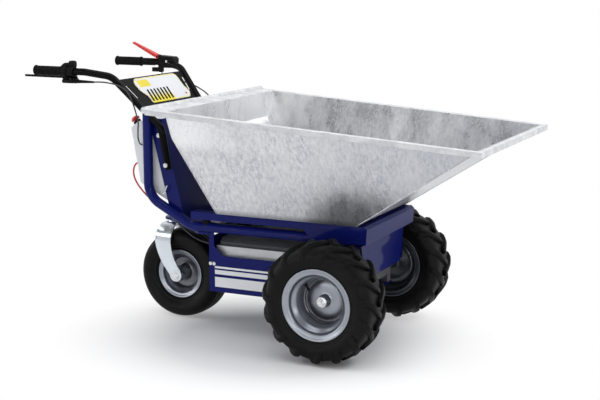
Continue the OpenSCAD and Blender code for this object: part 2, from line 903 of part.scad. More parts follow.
module hold_to_run_lever() {
    tip_r = 4;
    tip_half = 5;
    lug_room = hold_root_r + 2;
    tip = lever_l * [-cos(lever_rise), sin(lever_rise)];
    color("red") translate([hold_pivot.x, grip_y, hold_pivot.y]) difference() {
        union() {
            across(-clevis_half, clevis_half) circle(hold_root_r);
            intersection() {
                across(-clevis_half, clevis_half) {
                    polygon([[0, hold_root_r], tip + [0, tip_r], tip - [0, tip_r], [0, -hold_root_r + 1]]);
                    translate(tip) circle(tip_r);
                }
                linear_extrude(2 * lever_l)
                    polygon([[hold_root_r, -clevis_half], [-3 * hold_root_r, -clevis_half],
                        [-lever_l, -tip_half], [-lever_l, tip_half], [-3 * hold_root_r, clevis_half],
                        [hold_root_r, clevis_half]]);
            }
        }
        across(-lug_half - seat, lug_half + seat) circle(lug_room);
        pin_y(0, 0, hold_pin_r + running, -clevis_half - 1, clevis_half + 1);
    }
}

// Cables

// Smooth curve through the points of a route, carried on past its ends to keep the same bend there
function past(a, b, c) = 3 * a - 3 * b + c;
function curve_at(p, i, t) =
    let (n = len(p) - 1, b = p[i], c = p[i + 1], a = i > 0 ? p[i - 1] : past(b, c, p[2]),
         d = i + 2 <= n ? p[i + 2] : past(c, b, a))
    0.5 * (2 * b + (c - a) * t + (2 * a - 5 * b + 4 * c - d) * t * t
        + (3 * b - a - 3 * c + d) * t * t * t);
function curve(p, steps) =
    concat([for (i = [0 : len(p) - 2], k = [0 : steps - 1]) curve_at(p, i, k / steps)], [p[len(p) - 1]]);

module cord(route, r, steps) {
    sides = 8;
    path = curve(route, steps);
    n = len(path);
    lead = [1, 1, 1];
    rings = [for (i = [0 : n - 1])
        let (d = unit(path[min(i + 1, n - 1)] - path[max(i - 1, 0)]),
             u = unit(cross(d, lead)), v = cross(d, u))
        for (k = [0 : sides - 1]) path[i] + r * (u * cos(360 * k / sides) + v * sin(360 * k / sides))];
    walls = [for (i = [0 : n - 2], k = [0 : sides - 1])
        let (a = i * sides + k, b = i * sides + (k + 1) % sides)
        each [[a, a + sides, b + sides], [a, b + sides, b]]];
    ends = [for (k = [1 : sides - 2]) each [[0, k, k + 1],
        [(n - 1) * sides, (n - 1) * sides + k + 1, (n - 1) * sides + k]]];
    polyhedron(points = rings, faces = concat(walls, ends));
}

cable_end = 0.8;
brake_route = [[-906 + cable_end, -grip_y, perch_z + perch_h / 2], [-882, -grip_y + 1, perch_z + 8],
    [-857, -grip_y + 5, perch_z + 6.5], [-820, -grip_y + 12, perch_z - 1], [-792, -grip_y + 20, 849],
    [-777, -grip_y + 28, 825], [-771, -tube_y - 26, 796], [-769, -tube_y - 14, 766],
    [-767, -box_half - 27, 735], [-767, -box_half - 29, 708], [-768, -box_half - 28, 682],
    [-768, -box_half - 19.5, 661], [-769, -box_half - cable_end, 652]];
lever_route = [[post_at.x, post_at.y, post_low - cable_end], [-941, grip_y - 14, 825],
    [-922, grip_y - 18, 816], [-896, grip_y - 22, 822], [-868, tube_y + 39, 832],
    [-836, tube_y + 38, 838], [-787, tube_y + 40, 824], [-739, tube_y + 50, 792],
    [-715, tube_y + 50, 750], [-713, tube_y + 40, 705], [-729, tube_y + 33, 662],
    [-752, tube_y + 24, 635], [-771, box_half + 24, 622], [-778, box_half + cable_end, 620]];
lead_y = box_half - estop_in;
lead_route = [[-792, -lead_y, 585], [-814, -lead_y, 576], [-824, -lead_y, 554], [-821, -lead_y, 528],
    [-808, -lead_y, 504], [-786, -lead_y - 1, 480], [-755, -lead_y - 3, 455], [-712, -lead_y - 6, 428],
    [-662, -lead_y - 10, 398], [-616, -lead_y - 14, 364], [-575, -lead_y - 16, 337],
    [-532, -lead_y - 14, 321], [skirt_rear - cable_end, -lead_y - 14, 318]];
module brake_cable() { color("black") cord(brake_route, 2.5, 5); }
module lever_cable() { color("black") cord(lever_route, 2.5, 5); }
module battery_lead() { color("red") cord(lead_route, 3, 5); }

// Bolts of the handles and skirts

skirt_bolt_z = skirt_bottom + 100;
skirt_bolt_at = [[skirt_rear + 7, skirt_bolt_z], [skirt_rear + 21, skirt_bolt_z],
    [skirt_front - 12, tube_low - 25]];
module frame_bolts() {
    nut_y = panel_half - panel_t;
    color("silver") both() {
        for (i = [0, 1]) {
            p = panel_bolt_at[i];
            head_y = i == 0 ? tube_y + handle_r : panel_half;
            pin_y(p.x, p.y, bolt_head_r, -head_y - bolt_head_h, -head_y);
            pin_y(p.x, p.y, bolt_r, -head_y, -nut_y + bolt_head_h);
            pin_y(p.x, p.y, bolt_head_r - 2, -nut_y, -nut_y + bolt_head_h);
        }
        for (p = skirt_bolt_at)
            pin_y(p.x, p.y, bolt_head_r - 2, -skirt_y - plate - bolt_head_h, -skirt_y - plate);
    }
}

// Tipping hopper

flare = tan(side_flare);
rim_slope = (front_rise - rear_rise) / (floor_front + front_reach - floor_rear + rear_reach);
function rim_z(x) = floor_z + front_rise + rim_slope * (x - floor_front - front_reach);
back_x = floor_rear - rear_reach;
cavity_up = 60;
tub_span = 2 * (floor_front - floor_rear);

// Side outline of the tub, with its walls carried up by some height past the rim
function tub_side(up) = [[floor_rear, floor_z], [floor_front, floor_z],
    [floor_front + front_reach * (1 + up / front_rise), floor_z + front_rise + up],
    [back_x, floor_z + rear_rise + up], [back_x, floor_z + fold_rise]];
// Cross outline of the tub, out by some distance
function tub_cross(out, up) = [[-floor_half - out, floor_z], [floor_half + out, floor_z],
    [floor_half + out + (rear_rise + up) * flare, floor_z + rear_rise + up],
    [-floor_half - out - (rear_rise + up) * flare, floor_z + rear_rise + up]];

// Band along the rim, lowered by d and cut short by e
module rim_band(d, e, h) {
    x0 = back_x - back_fold + e;
    x1 = lip_x - e;
    across(-tub_span, tub_span) polygon([[x0, rim_z(x0) - d - h], [x1, rim_z(x1) - d - h], [x1, rim_z(x1) - d],
        [x0, rim_z(x0) - d]]);
}

// Inner outline of the tub, carried straight down through the floor
function pocket(p) = concat([[p[0].x, floor_z - 1], [p[1].x, floor_z - 1]],
    [for (i = [1 : len(p) - 1]) p[i]], [p[0]]);
side_pocket = pocket(inset(tub_side(cavity_up), sheet));
cross_pocket = pocket(inset(tub_cross(0, cavity_up), sheet));

// Block between a side outline and a cross outline of the tub
module tub_block(side, face) {
    intersection() {
        across(-tub_span, tub_span) polygon(side);
        along(-tub_span, tub_span) polygon(face);
    }
}

module hopper_floor() {
    from = [side_pocket[0].x, cross_pocket[0].x];
    to = [side_pocket[1].x, cross_pocket[1].x];
    color("lightgray") translate([from.x, from.y, floor_z]) cube([to.x - from.x, to.y - from.y, sheet]);
}

module hopper_sides() {
    color("lightgray") difference() {
        tub_block(tub_side(0), tub_cross(0, 0));
        along(-tub_span, tub_span) polygon(cross_pocket);
    }
}

module hopper_ends() {
    color("lightgray") difference() {
        tub_block(tub_side(0), cross_pocket);
        across(-tub_span, tub_span) polygon(side_pocket);
    }
}

// Folded rim, with a seam at each corner
module hopper_rim() {
    roll_x = back_x - back_fold;
    roll_z = rim_z(roll_x) - 2;
    roll_half = floor_half + (roll_z - floor_z) * flare + rim_fold;
    fold_up = 40;
    seam = 2 * running;
    lip_from = floor_front + front_reach * (1 - sheet / front_rise) - 1;
    color("lightgray") difference() {
        union() {
            difference() {
                intersection() {
                    rim_band(0, 0, rim_drop);
                    along(-tub_span, tub_span) polygon(tub_cross(rim_fold, fold_up));
                }
                intersection() {
                    rim_band(sheet, sheet, 2 * rim_drop);
                    along(-tub_span, tub_span) polygon(tub_cross(rim_fold - sheet, fold_up));
                }
            }
            pin_y(roll_x, roll_z, roll_r, -roll_half, roll_half);
        }
        tub_block(inset(tub_side(cavity_up), -running), tub_cross(running, cavity_up));
        for (x = [back_x - seam, lip_from]) translate([x, -tub_span, floor_z])
            cube([seam, 2 * tub_span, 2 * rear_rise]);
    }
}

floor_bolt_r = 5;
hopper_bolt_x = [-425, -205, 20];
hopper_bolt_y = cradle_half - rail_flange / 2 - 2;
hopper_bolt_at = [for (x = hopper_bolt_x, s = [-1, 1]) [x, s * hopper_bolt_y]];
module hopper_bolts() {
    stud_nut_h = 8;
    color("silver") for (p = hopper_bolt_at) translate([p.x, p.y, floor_z - cradle_t - stud_nut_h]) {
        cylinder(r = floor_bolt_r, h = stud_nut_h + cradle_t);
        cylinder(r = floor_bolt_r + 3, h = stud_nut_h, $fn = 6);
    }
}

// Cradle under the hopper

beam_lean = 4;
beam_chamfer = [10, 9];
beam_rear = 56;
beam_outline = [[beam_rear, beam_bottom], [beam_front - beam_lean, beam_bottom],
    [beam_front, floor_z - beam_chamfer.y], [beam_front - beam_chamfer.x, floor_z], [beam_rear, floor_z]];
rail_step = 36;
bush_r = tip_rod_r + 4;
module cradle_rails() {
    web = cradle_half - cradle_t;
    color("darkblue") both() difference() {
        union() {
            across(-cradle_half, -web)
                polygon(concat([[rail_rear, floor_z - rail_h], [cheek_rear - rail_step, floor_z - rail_h],
                    [cheek_rear, beam_bottom]], [for (i = [1 : 3]) beam_outline[i]],
                    [[rail_rear, floor_z]]));
            translate([rail_rear, -web, floor_z - cradle_t])
                cube([beam_rear - rail_rear, rail_flange - cradle_t, cradle_t]);
            pin_y(tip_x, tip_z, bush_r, -web, -web + bush_l);
        }
        pin_y(tip_x, tip_z, tip_rod_r + running, -cradle_half - 1, -web + bush_l + 1);
        for (p = hopper_bolt_at) translate([p.x, p.y, floor_z - cradle_t - 1])
            cylinder(r = floor_bolt_r + running, h = cradle_t + 2);
    }
}

beam_lip = 10;
module cradle_beam() {
    web = cradle_half - cradle_t;
    inner = inset(beam_outline, cradle_t);
    color("darkblue") across(-web, web) difference() {
        polygon(beam_outline);
        polygon(inner);
        translate([beam_rear - 1, inner[0].y]) square([cradle_t + 2, inner[4].y - inner[0].y]);
        translate([beam_rear - 1, beam_bottom - 1])
            square([beam_front - beam_lean - beam_lip - beam_rear + 1, cradle_t + 1.01]);
    }
}

member_h = 20;
member_w = 50;
member_x = [-525, -230];
module cradle_cross_members() {
    web = cradle_half - cradle_t;
    low = floor_z - cradle_t - member_h;
    color("darkblue") for (x = member_x) across(-web, web) difference() {
        translate([x, low]) square([member_w, member_h]);
        translate([x + cradle_t, low + cradle_t]) square([member_w - 2 * cradle_t, member_h]);
    }
}

// Wheels

// Rounded section of a tyre between its bead and its crown
module tyre_block(r0, crown, half, shoulder) {
    translate([r0, -half + shoulder]) square([crown - r0, 2 * (half - shoulder)]);
    translate([r0, -half]) square([crown - shoulder - r0, 2 * half]);
    for (s = [-1, 1]) translate([crown - shoulder, s * (half - shoulder)]) circle(shoulder);
}

// Tyre wall that closes in from its widest line to the bead seat between the rim flanges
module tyre_section(bead, flange, crown, half, bead_half, flange_half, shoulder, wall) {
    wide = flange + (crown - flange) * 0.42;
    limit = [[bead, -bead_half], [flange + 1, -flange_half], [wide, -half], [crown + 1, -half],
        [crown + 1, half], [wide, half], [flange + 1, flange_half], [bead, bead_half]];
    hollow = [[bead - 1, -bead_half + wall], [flange + 1, -flange_half + wall], [wide, -half + wall],
        [crown, -half + wall], [crown, half - wall], [wide, half - wall], [flange + 1, flange_half - wall],
        [bead - 1, bead_half - wall]];
    difference() {
        intersection() {
            tyre_block(bead, crown, half, shoulder);
            polygon(limit);
        }
        intersection() {
            tyre_block(bead - 1, crown - wall, half - wall, shoulder - wall);
            polygon(hollow);
        }
    }
}

// Stepped rim from flange to flange
module rim_section(flange, bead, well, half, wall) {
    seat_in = half - 27;
    well_out = half - 39;
    edge = 4;
    toe = 8;
    polygon([[flange, half], [bead - wall, half - edge], [bead - wall, seat_in - 1.5],
        [well - wall, well_out - 1.5], [well - wall, -well_out + 1.5], [bead - wall, -seat_in + 1.5],
        [bead - wall, -half + edge], [flange, -half], [flange, -half + edge], [bead, -half + toe],
        [bead, -seat_in], [well, -well_out], [well, well_out], [bead, seat_in], [bead, half - toe],
        [flange, half - edge]]);
}

lug_overlap = 5;
lug_drop = 46;
module tread_lugs() {
    half = drive_w / 2;
    low = drive_r - lug_drop - 2;
    shape = [[lug_skew / 2, half], [lug_skew / 2 + lug_w, half], [-lug_skew / 2 + lug_w, -lug_overlap],
        [-lug_skew / 2, -lug_overlap]];
    for (i = [0 : lug_count - 1], row = [0, 1]) rotate([0, 0, 360 * (i + row / 2) / lug_count])
        mirror([0, 0, row]) translate([low, 0, 0]) rotate([90, 0, 90])
            linear_extrude(drive_r + 20 - low) polygon(shape);
}

tyre_wall = 9;
module right_tyre() {
    half = drive_w / 2;
    crown = drive_r - lug_h;
    slack = 0.3;
    color("black") right_wheel() {
        rotate_extrude() tyre_section(rim_bead_r, rim_flange_r, crown, half - 2, rim_half_w - 8 - slack,
            rim_half_w - 4 - slack, 34, tyre_wall);
        intersection() {
            tread_lugs();
            rotate_extrude() for (s = [0, 1]) mirror([0, s]) polygon([[crown - 4, 0], [drive_r, 0],
                [drive_r - 1, half - 36], [drive_r - 6, half - 20], [drive_r - 16, half - 7],
                [drive_r - 31, half], [drive_r - lug_drop, half], [drive_r - lug_drop - 1, half - 4],
                [crown - 14, half - 14], [crown - 5, half - 36]]);
        }
    }
}

module left_tyre() { left() right_tyre(); }

disc_t = 4;
hub_r = 17;
hub_out = 14;
hub_in = 44;
module right_rim() {
    color("silver") right_wheel() difference() {
        union() {
            rotate_extrude() rim_section(rim_flange_r, rim_bead_r, rim_well_r, rim_half_w, rim_wall);
            translate([0, 0, -disc_inset - disc_t / 2]) cylinder(r = rim_well_r - rim_wall / 2, h = disc_t);
            translate([0, 0, -hub_in]) cylinder(r = hub_r, h = hub_in + hub_out);
        }
        translate([0, 0, -hub_in - 1]) cylinder(r = axle_r, h = hub_in + hub_out + 2);
    }
}

module left_rim() { left() right_rim(); }

axle_out = 34;
washer_t = 3;
axle_nut_r = 13;
axle_nut_h = 11;
axle_stub_r = 8;
module right_axle() {
    inner = half_track - gear_half - 1;
    color("lightgray") right_wheel() {
        translate([0, 0, -inner]) cylinder(r = axle_r, h = inner + hub_out);
        translate([0, 0, hub_out]) cylinder(r = axle_stub_r, h = axle_out - hub_out);
        translate([0, 0, hub_out]) cylinder(r = hub_r, h = washer_t);
        translate([0, 0, hub_out + washer_t]) cylinder(r = axle_nut_r, h = axle_nut_h, $fn = 6);
    }
}

module left_axle() { left() right_axle(); }

// Caster

module caster_wheel() { translate([-caster_back, 0, caster_r]) rotate([90, 0, 0]) children(); }

fork_half = fork_gap / 2 + fork_t;
crown_half = 45;
shoulder_z = 300;
module caster_fork() {
    outer = [[-fork_half, 100], [fork_half, 100], [fork_half, shoulder_z], [crown_half, crown_z],
        [-crown_half, crown_z], [-fork_half, shoulder_z]];
    inner = inset(outer, fork_t);
    end_r = 24;
    color("silver") difference() {
        union() {
            intersection() {
                along(fork_x - caster_r, fork_x + caster_r) difference() {
                    polygon(outer);
                    polygon(concat([inner[0] - [0, 20], inner[1] - [0, 20]],
                        [for (i = [2 : 5]) inner[i]]));
                }
                across(-fork_half - 1, fork_half + 1) {
                    translate([-caster_back, caster_r]) circle(end_r);
                    polygon([[-caster_back - 17, caster_r - 17], [-caster_back + 23, caster_r + 6],
                        [fork_x + 34, caster_r + 88], [fork_x + 30, caster_r + 130], [fork_x + 38, crown_z],
                        [fork_x - 20, crown_z], [fork_x - 34, crown_z - 30], [fork_x - 36, caster_r + 124],
                        [fork_x - 16, caster_r + 62], [-caster_back - 37, caster_r + 12]]);
                }
            }
            translate([fork_x, 0, crown_z]) cylinder(r = 20, h = race_h - seat);
        }
        translate([fork_x, 0, crown_z - 2 * fork_t]) cylinder(r = kingpin_r + running, h = 4 * fork_t);
        pin_y(-caster_back, caster_r, caster_axle_r, -fork_half - 1, fork_half + 1);
    }
}

bearing_half = 60;
caster_bearing_w = 12;
caster_hub_r = 26;
caster_bearing_r = 21;
module caster_axle() {
    cap = 7;
    color("lightgray") caster_wheel() {
        translate([0, 0, -fork_half - cap]) cylinder(r = caster_axle_r, h = 2 * (fork_half + cap));
        for (s = [0, 1]) mirror([0, 0, s]) {
            translate([0, 0, fork_half]) cylinder(r = caster_axle_r + 4, h = cap, $fn = 6);
            translate([0, 0, bearing_half + seat])
                cylinder(r = caster_axle_r + 4, h = fork_gap / 2 - bearing_half - seat);
        }
    }
}

module caster_tyre() {
    half = caster_w / 2;
    slack = 0.3;
    groove = 3;
    color("black") caster_wheel() rotate_extrude() difference() {
        tyre_section(caster_bead_r, caster_flange_r, caster_r, half, caster_rim_half_w - 8 - slack,
            caster_rim_half_w - 4 - slack, 34, tyre_wall);
        for (y = [-20, 0, 20]) translate([caster_r - groove, y - groove / 2]) square([2 * groove, groove]);
    }
}

caster_well_r = 62;
module caster_rim() {
    color("silver") caster_wheel() difference() {
        union() {
            rotate_extrude() rim_section(caster_flange_r, caster_bead_r, caster_well_r,
                caster_rim_half_w, rim_wall);
            translate([0, 0, -disc_t / 2]) cylinder(r = caster_well_r - rim_wall / 2, h = disc_t);
            translate([0, 0, -bearing_half]) cylinder(r = caster_hub_r, h = 2 * bearing_half);
        }
        translate([0, 0, -bearing_half - 1]) cylinder(r = caster_axle_r + 3, h = 2 * bearing_half + 2);
        for (s = [0, 1]) mirror([0, 0, s]) translate([0, 0, bearing_half - caster_bearing_w])
            cylinder(r = caster_bearing_r, h = caster_bearing_w + 1);
    }
}

module caster_bearings() {
    color("silver") caster_wheel() for (s = [0, 1]) mirror([0, 0, s])
        translate([0, 0, bearing_half - caster_bearing_w]) difference() {
            cylinder(r = caster_bearing_r, h = caster_bearing_w);
            translate([0, 0, -1]) cylinder(r = caster_axle_r + running, h = caster_bearing_w + 2);
        }
}

// The finished model stands with its origin under the middle of its length
module stand() { translate([-mid_x, 0, 0]) children(); }

stand() right_frame_tube();
stand() left_frame_tube();
stand() cross_tubes();
stand() front_plate();
stand() hinge_ears();
stand() hinge_rod();
stand() side_skirts();
stand() belly_pan();
stand() battery_case();
stand() battery_lid();
stand() batteries();
stand() transaxle_housing();
stand() drive_motor();
stand() axle_bearings();
stand() caster_bridge();
stand() kingpin();
stand() rest_pads();
stand() back_panel();
stand() controller_case();
stand() controller_cover();
stand() motor_controller();
stand() battery_lead();
stand() estop_base();
stand() right_handle_tube();
stand() left_handle_tube();
stand() grips();
stand() fascia_plate();
stand() fascia_cover();
stand() control_pod();
stand() throttle_body();
stand() brake_perch();
stand() brake_cable();
stand() lever_housing();
stand() lever_cable();
stand() frame_bolts();
stand() hopper_floor();
stand() hopper_sides();
stand() hopper_ends();
stand() hopper_rim();
stand() cradle_rails();
stand() cradle_beam();
stand() cradle_cross_members();
stand() hopper_bolts();
stand() right_tyre();
stand() right_rim();
stand() right_axle();
stand() left_tyre();
stand() left_rim();
stand() left_axle();
stand() caster_fork();
stand() caster_axle();
stand() caster_tyre();
stand() caster_rim();
stand() caster_bearings();
stand() hold_to_run_lever();
stand() brake_lever();
stand() thumb_throttle();
stand() estop_button();
stand() key_switch();
stand() direction_rocker();
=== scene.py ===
from math import cos, pi, radians, sin

import bpy
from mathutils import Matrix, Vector


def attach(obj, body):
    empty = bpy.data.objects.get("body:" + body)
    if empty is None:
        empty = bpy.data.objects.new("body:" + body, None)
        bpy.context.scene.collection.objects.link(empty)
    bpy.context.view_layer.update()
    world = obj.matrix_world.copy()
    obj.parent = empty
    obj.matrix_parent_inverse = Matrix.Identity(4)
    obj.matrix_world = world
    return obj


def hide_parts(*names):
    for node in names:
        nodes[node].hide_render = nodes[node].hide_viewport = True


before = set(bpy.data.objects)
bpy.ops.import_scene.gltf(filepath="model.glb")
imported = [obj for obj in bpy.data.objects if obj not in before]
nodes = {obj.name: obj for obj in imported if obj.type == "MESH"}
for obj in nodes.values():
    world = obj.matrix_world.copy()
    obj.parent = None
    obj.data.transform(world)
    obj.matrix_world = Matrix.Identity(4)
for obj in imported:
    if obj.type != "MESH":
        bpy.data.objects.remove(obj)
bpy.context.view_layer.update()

bpy.context.scene.view_settings.view_transform = "Standard"

# Viewpoint. A long lens on a stand, a little above the rim of the hopper, ahead of the right side
# of the buggy, so that the near skirt, both front wheels and the whole console show.
stand = (1.992, -4.004, 1.271)
tilt = radians(79.68)
swing = radians(25.20)
bpy.ops.object.select_all(action="DESELECT")
bpy.ops.object.camera_add(location=stand, rotation=(tilt, 0, swing))
viewpoint = bpy.context.object
viewpoint.data.lens = 76.98
viewpoint.data.sensor_width = 36
viewpoint.data.clip_end = 60
bpy.context.scene.camera = viewpoint

# Control cables and battery lead. Two sheathed steel control cables run from the hand levers into the
# sides of the controller box; one power lead leaves the back of the box for the battery tray.
# All are held at both ends and follow the routes of the construction model.
def put(finish, kind, sockets=None, **settings):
    """Adds one shading node; a socket is given a value, or the output that feeds it."""
    made = finish.node_tree.nodes.new("ShaderNode" + kind)
    for key, value in settings.items():
        setattr(made, key, value)
    for key, value in (sockets or {}).items():
        if isinstance(value, bpy.types.NodeSocket):
            finish.node_tree.links.new(value, made.inputs[key])
        else:
            made.inputs[key].default_value = value
    return made


def new_finish(name, roughness, metallic=0.0, coat=0.0, specular=0.5):
    """A finish whose plain values sit on the shader itself."""
    finish = bpy.data.materials.new(name)
    finish.use_nodes = True
    shader = finish.node_tree.nodes["Principled BSDF"]
    plain = {"Roughness": roughness, "Metallic": metallic, "Specular IOR Level": specular,
             "Coat Weight": coat, "Coat Roughness": 0.05}
    for key, value in plain.items():
        shader.inputs[key].default_value = value
    return finish


def feed(finish, key, output):
    """Joins an output to the shader."""
    finish.node_tree.links.new(output, finish.node_tree.nodes["Principled BSDF"].inputs[key])


def place(finish):
    """The piece's own coordinates."""
    return put(finish, "TexCoord").outputs["Object"]


def axes(finish, vector=None):
    """The X, Y and Z of a vector, or else of the piece's own coordinates."""
    return put(finish, "SeparateXYZ", {"Vector": place(finish) if vector is None else vector}).outputs


def grain(finish, spots, detail=4.0, stretch=(1, 1, 1)):
    """Cloudy grain, from 0 to 1, at so many spots to the metre, drawn out by a stretch."""
    at = put(finish, "Mapping", {"Vector": place(finish), "Scale": stretch}).outputs["Vector"]
    cloud = put(finish, "TexNoise", {"Vector": at, "Scale": spots, "Detail": detail, "Roughness": 0.6})
    return cloud.outputs["Fac"]


def between(finish, share, low, high, start=0.0, stop=1.0):
    """A number that goes from low to high as the share goes from start to stop."""
    ramp = put(finish, "MapRange", {"Value": share, "From Min": start, "From Max": stop,
                                    "To Min": low, "To Max": high})
    return ramp.outputs["Result"]


def blend_of(finish, share, first, second):
    """A colour between two others, each a colour or an output."""
    mix = put(finish, "Mix", data_type="RGBA")
    for socket, value in ((mix.inputs["Factor"], share), (mix.inputs[6], first), (mix.inputs[7], second)):
        if isinstance(value, bpy.types.NodeSocket):
            finish.node_tree.links.new(value, socket)
        else:
            socket.default_value = value if isinstance(value, float) else (*value, 1.0)
    return mix.outputs[2]


def paint(finish, share, first, second):
    """Colours a finish between two colours, each a colour or an output."""
    feed(finish, "Base Color", blend_of(finish, share, first, second))


def tint(finish, spots, dark, light, detail=4.0):
    """Colours a finish in clouds of a dark and a light tone."""
    paint(finish, grain(finish, spots, detail), dark, light)


def dull(finish, spots, low, high, detail=4.0):
    """Lets the roughness of a finish vary in clouds between two values."""
    feed(finish, "Roughness", between(finish, grain(finish, spots, detail), low, high))


cable_black = new_finish("cable_black", 0.5)
tint(cable_black, 60, (0.010, 0.010, 0.011), (0.030, 0.030, 0.032))
dull(cable_black, 200, 0.38, 0.62)

# The power lead is red down to its sleeve and black below it
lead_sleeve_z = 0.47
sleeve_fade = 0.004
lead_black = (0.015, 0.015, 0.016)
power_red = new_finish("power_red", 0.45)
red_part = between(power_red, axes(power_red)["Z"], 0.0, 1.0, lead_sleeve_z - sleeve_fade,
                   lead_sleeve_z + sleeve_fade)
red_cloud = blend_of(power_red, grain(power_red, 80), (0.36, 0.018, 0.015), (0.55, 0.035, 0.030))
paint(power_red, red_part, lead_black, red_cloud)
dull(power_red, 160, 0.35, 0.6)


def smooth_line(name, route, thickness):
    """A round line laid smoothly through the points of its route."""
    line = bpy.data.curves.new(name, "CURVE")
    line.dimensions = "3D"
    line.bevel_depth = thickness / 2
    line.bevel_resolution = 4
    line.resolution_u = 10
    line.use_fill_caps = True
    strand = line.splines.new("BEZIER")
    strand.bezier_points.add(len(route) - 1)
    spots = [Vector(spot) for spot in route]
    first = 3 * spots[0] - 3 * spots[1] + spots[2]
    last = 3 * spots[-1] - 3 * spots[-2] + spots[-3]
    spots = [first, *spots, last]
    for i, knot in enumerate(strand.bezier_points):
        before, here, after = spots[i:i + 3]
        knot.co = here
        knot.handle_left = here - (after - before) / 6
        knot.handle_right = here + (after - before) / 6
    piece = bpy.data.objects.new(name, line)
    bpy.context.scene.collection.objects.link(piece)
    return piece


def cable(name, route, thickness, node, finish):
    """A cable fixed to the chassis at both ends."""
    piece = smooth_line(name, route, thickness)
    piece.data.materials.append(finish)
    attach(piece, "chassis")
    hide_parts(node)


control_sheath = 0.005
lead_sheath = 0.006
brake_route = [
    (-0.5612, -0.262, 0.874), (-0.538, -0.261, 0.875), (-0.513, -0.257, 0.8735), (-0.476, -0.250, 0.866),
    (-0.448, -0.242, 0.849), (-0.433, -0.234, 0.825), (-0.427, -0.224, 0.796), (-0.425, -0.212, 0.766),
    (-0.423, -0.203, 0.735), (-0.423, -0.205, 0.708), (-0.424, -0.204, 0.682), (-0.424, -0.1955, 0.661),
    (-0.425, -0.1768, 0.652)]
lever_route = [
    (-0.604, 0.250, 0.8452), (-0.597, 0.248, 0.825), (-0.578, 0.244, 0.816), (-0.552, 0.240, 0.822),
    (-0.524, 0.237, 0.832), (-0.492, 0.236, 0.838), (-0.443, 0.238, 0.824), (-0.395, 0.248, 0.792),
    (-0.371, 0.248, 0.750), (-0.369, 0.238, 0.705), (-0.385, 0.231, 0.662), (-0.408, 0.222, 0.635),
    (-0.427, 0.200, 0.622), (-0.434, 0.1768, 0.620)]
lead_route = [
    (-0.448, -0.150, 0.585), (-0.470, -0.150, 0.576), (-0.480, -0.150, 0.554), (-0.477, -0.150, 0.528),
    (-0.464, -0.150, 0.504), (-0.442, -0.151, 0.480), (-0.411, -0.153, 0.455), (-0.368, -0.156, 0.428),
    (-0.318, -0.160, 0.398), (-0.272, -0.164, 0.364), (-0.231, -0.166, 0.337), (-0.188, -0.164, 0.321),
    (-0.1458, -0.164, 0.318)]
cable("brake_line", brake_route, control_sheath, "brake_cable", cable_black)
cable("lever_line", lever_route, control_sheath, "lever_cable", cable_black)
cable("power_line", lead_route, lead_sheath, "battery_lead", power_red)

# Studio. A pale seamless sweep of paper under the buggy, darkened close under it by a painted shadow, one
# broad overhead soft box, weaker ones beside the camera and ahead, a narrow strip for the gloss, and an even
# white surround. What the gloss mirrors is a darker room on the camera side, with one long low window.
def work_out(finish, operation, *numbers):
    """A number worked out from others, each a plain number or an output."""
    return put(finish, "Math", dict(enumerate(numbers)), operation=operation).outputs["Value"]


def product(finish, number, *others):
    """Numbers multiplied together."""
    for other in others:
        number = work_out(finish, "MULTIPLY", number, other)
    return number


def within(finish, value, low, high, edge):
    """1 between two values, with a soft edge."""
    rise = between(finish, value, 0.0, 1.0, low - edge, low + edge)
    fall = between(finish, value, 1.0, 0.0, high - edge, high + edge)
    return product(finish, rise, fall)


floor_half = 7.0
shade_shift = (-0.16, 0.32, 0)
shade_reach = 0.62
painted_floor_shadow = (0.75, 0.75, 0.76)
paper_open = (0.95, 0.95, 0.955)
pure_white = (1, 1, 1, 1)
bpy.ops.object.select_all(action="DESELECT")
bpy.ops.mesh.primitive_plane_add(size=2 * floor_half, location=(0, 0, 0))
paper = bpy.context.object
paper.name = "paper_sweep"
paper_white = new_finish("paper_white", 0.9, specular=0.0)
flat = put(paper_white, "Mapping", {"Vector": place(paper_white), "Location": shade_shift,
                                    "Scale": (1 / shade_reach, 1 / shade_reach, 1)}).outputs["Vector"]
away = put(paper_white, "VectorMath", {0: flat}, operation="LENGTH").outputs["Value"]
# Painted shadow: the paper's colour is darker close under the buggy and pales to its own colour further out,
# where camera, glossy and transmission rays see plain white
open_share = between(paper_white, away, 0.03, 1.0, 0.55, 1.28)
paint(paper_white, open_share, painted_floor_shadow, paper_open)
path = put(paper_white, "LightPath").outputs
seen = work_out(paper_white, "MAXIMUM", path["Is Camera Ray"], path["Is Glossy Ray"])
seen = work_out(paper_white, "MAXIMUM", seen, path["Is Transmission Ray"])
fade = product(paper_white, seen, open_share)
glow = put(paper_white, "Emission", {"Color": pure_white, "Strength": 1.0}).outputs["Emission"]
shadowed = paper_white.node_tree.nodes["Principled BSDF"].outputs["BSDF"]
both = put(paper_white, "MixShader", {"Fac": fade, 1: shadowed, 2: glow})
paper_white.node_tree.links.new(both.outputs["Shader"],
                                paper_white.node_tree.nodes["Material Output"].inputs["Surface"])
paper.data.materials.append(paper_white)

surround = bpy.data.worlds.new("surround")
bpy.context.scene.world = surround
surround.use_nodes = True
even = surround.node_tree.nodes["Background"]
even.inputs["Color"].default_value = (0.97, 0.98, 1.0, 1.0)
even.inputs["Strength"].default_value = 0.62
backdrop = put(surround, "Background", {"Color": pure_white, "Strength": 1.0})
room_side = Vector((-0.25, -0.90, 0.30)).normalized()
window_sill = 0.17
window_head = 0.25
window_glow = 8.0
room_glow = 0.16
outlook = put(surround, "TexCoord").outputs["Generated"]
towards = put(surround, "VectorMath", {0: outlook, 1: room_side}, operation="DOT_PRODUCT").outputs["Value"]
height = axes(surround, outlook)["Z"]
window = product(surround, within(surround, height, window_sill, window_head, 0.01),
                 between(surround, towards, 0.0, window_glow, 0.1, 0.4))
room = between(surround, towards, 1.0, room_glow, -0.05, 0.65)
mirrored_room = put(surround, "Background", {"Color": pure_white,
                                             "Strength": work_out(surround, "ADD", room, window)})
path = put(surround, "LightPath").outputs
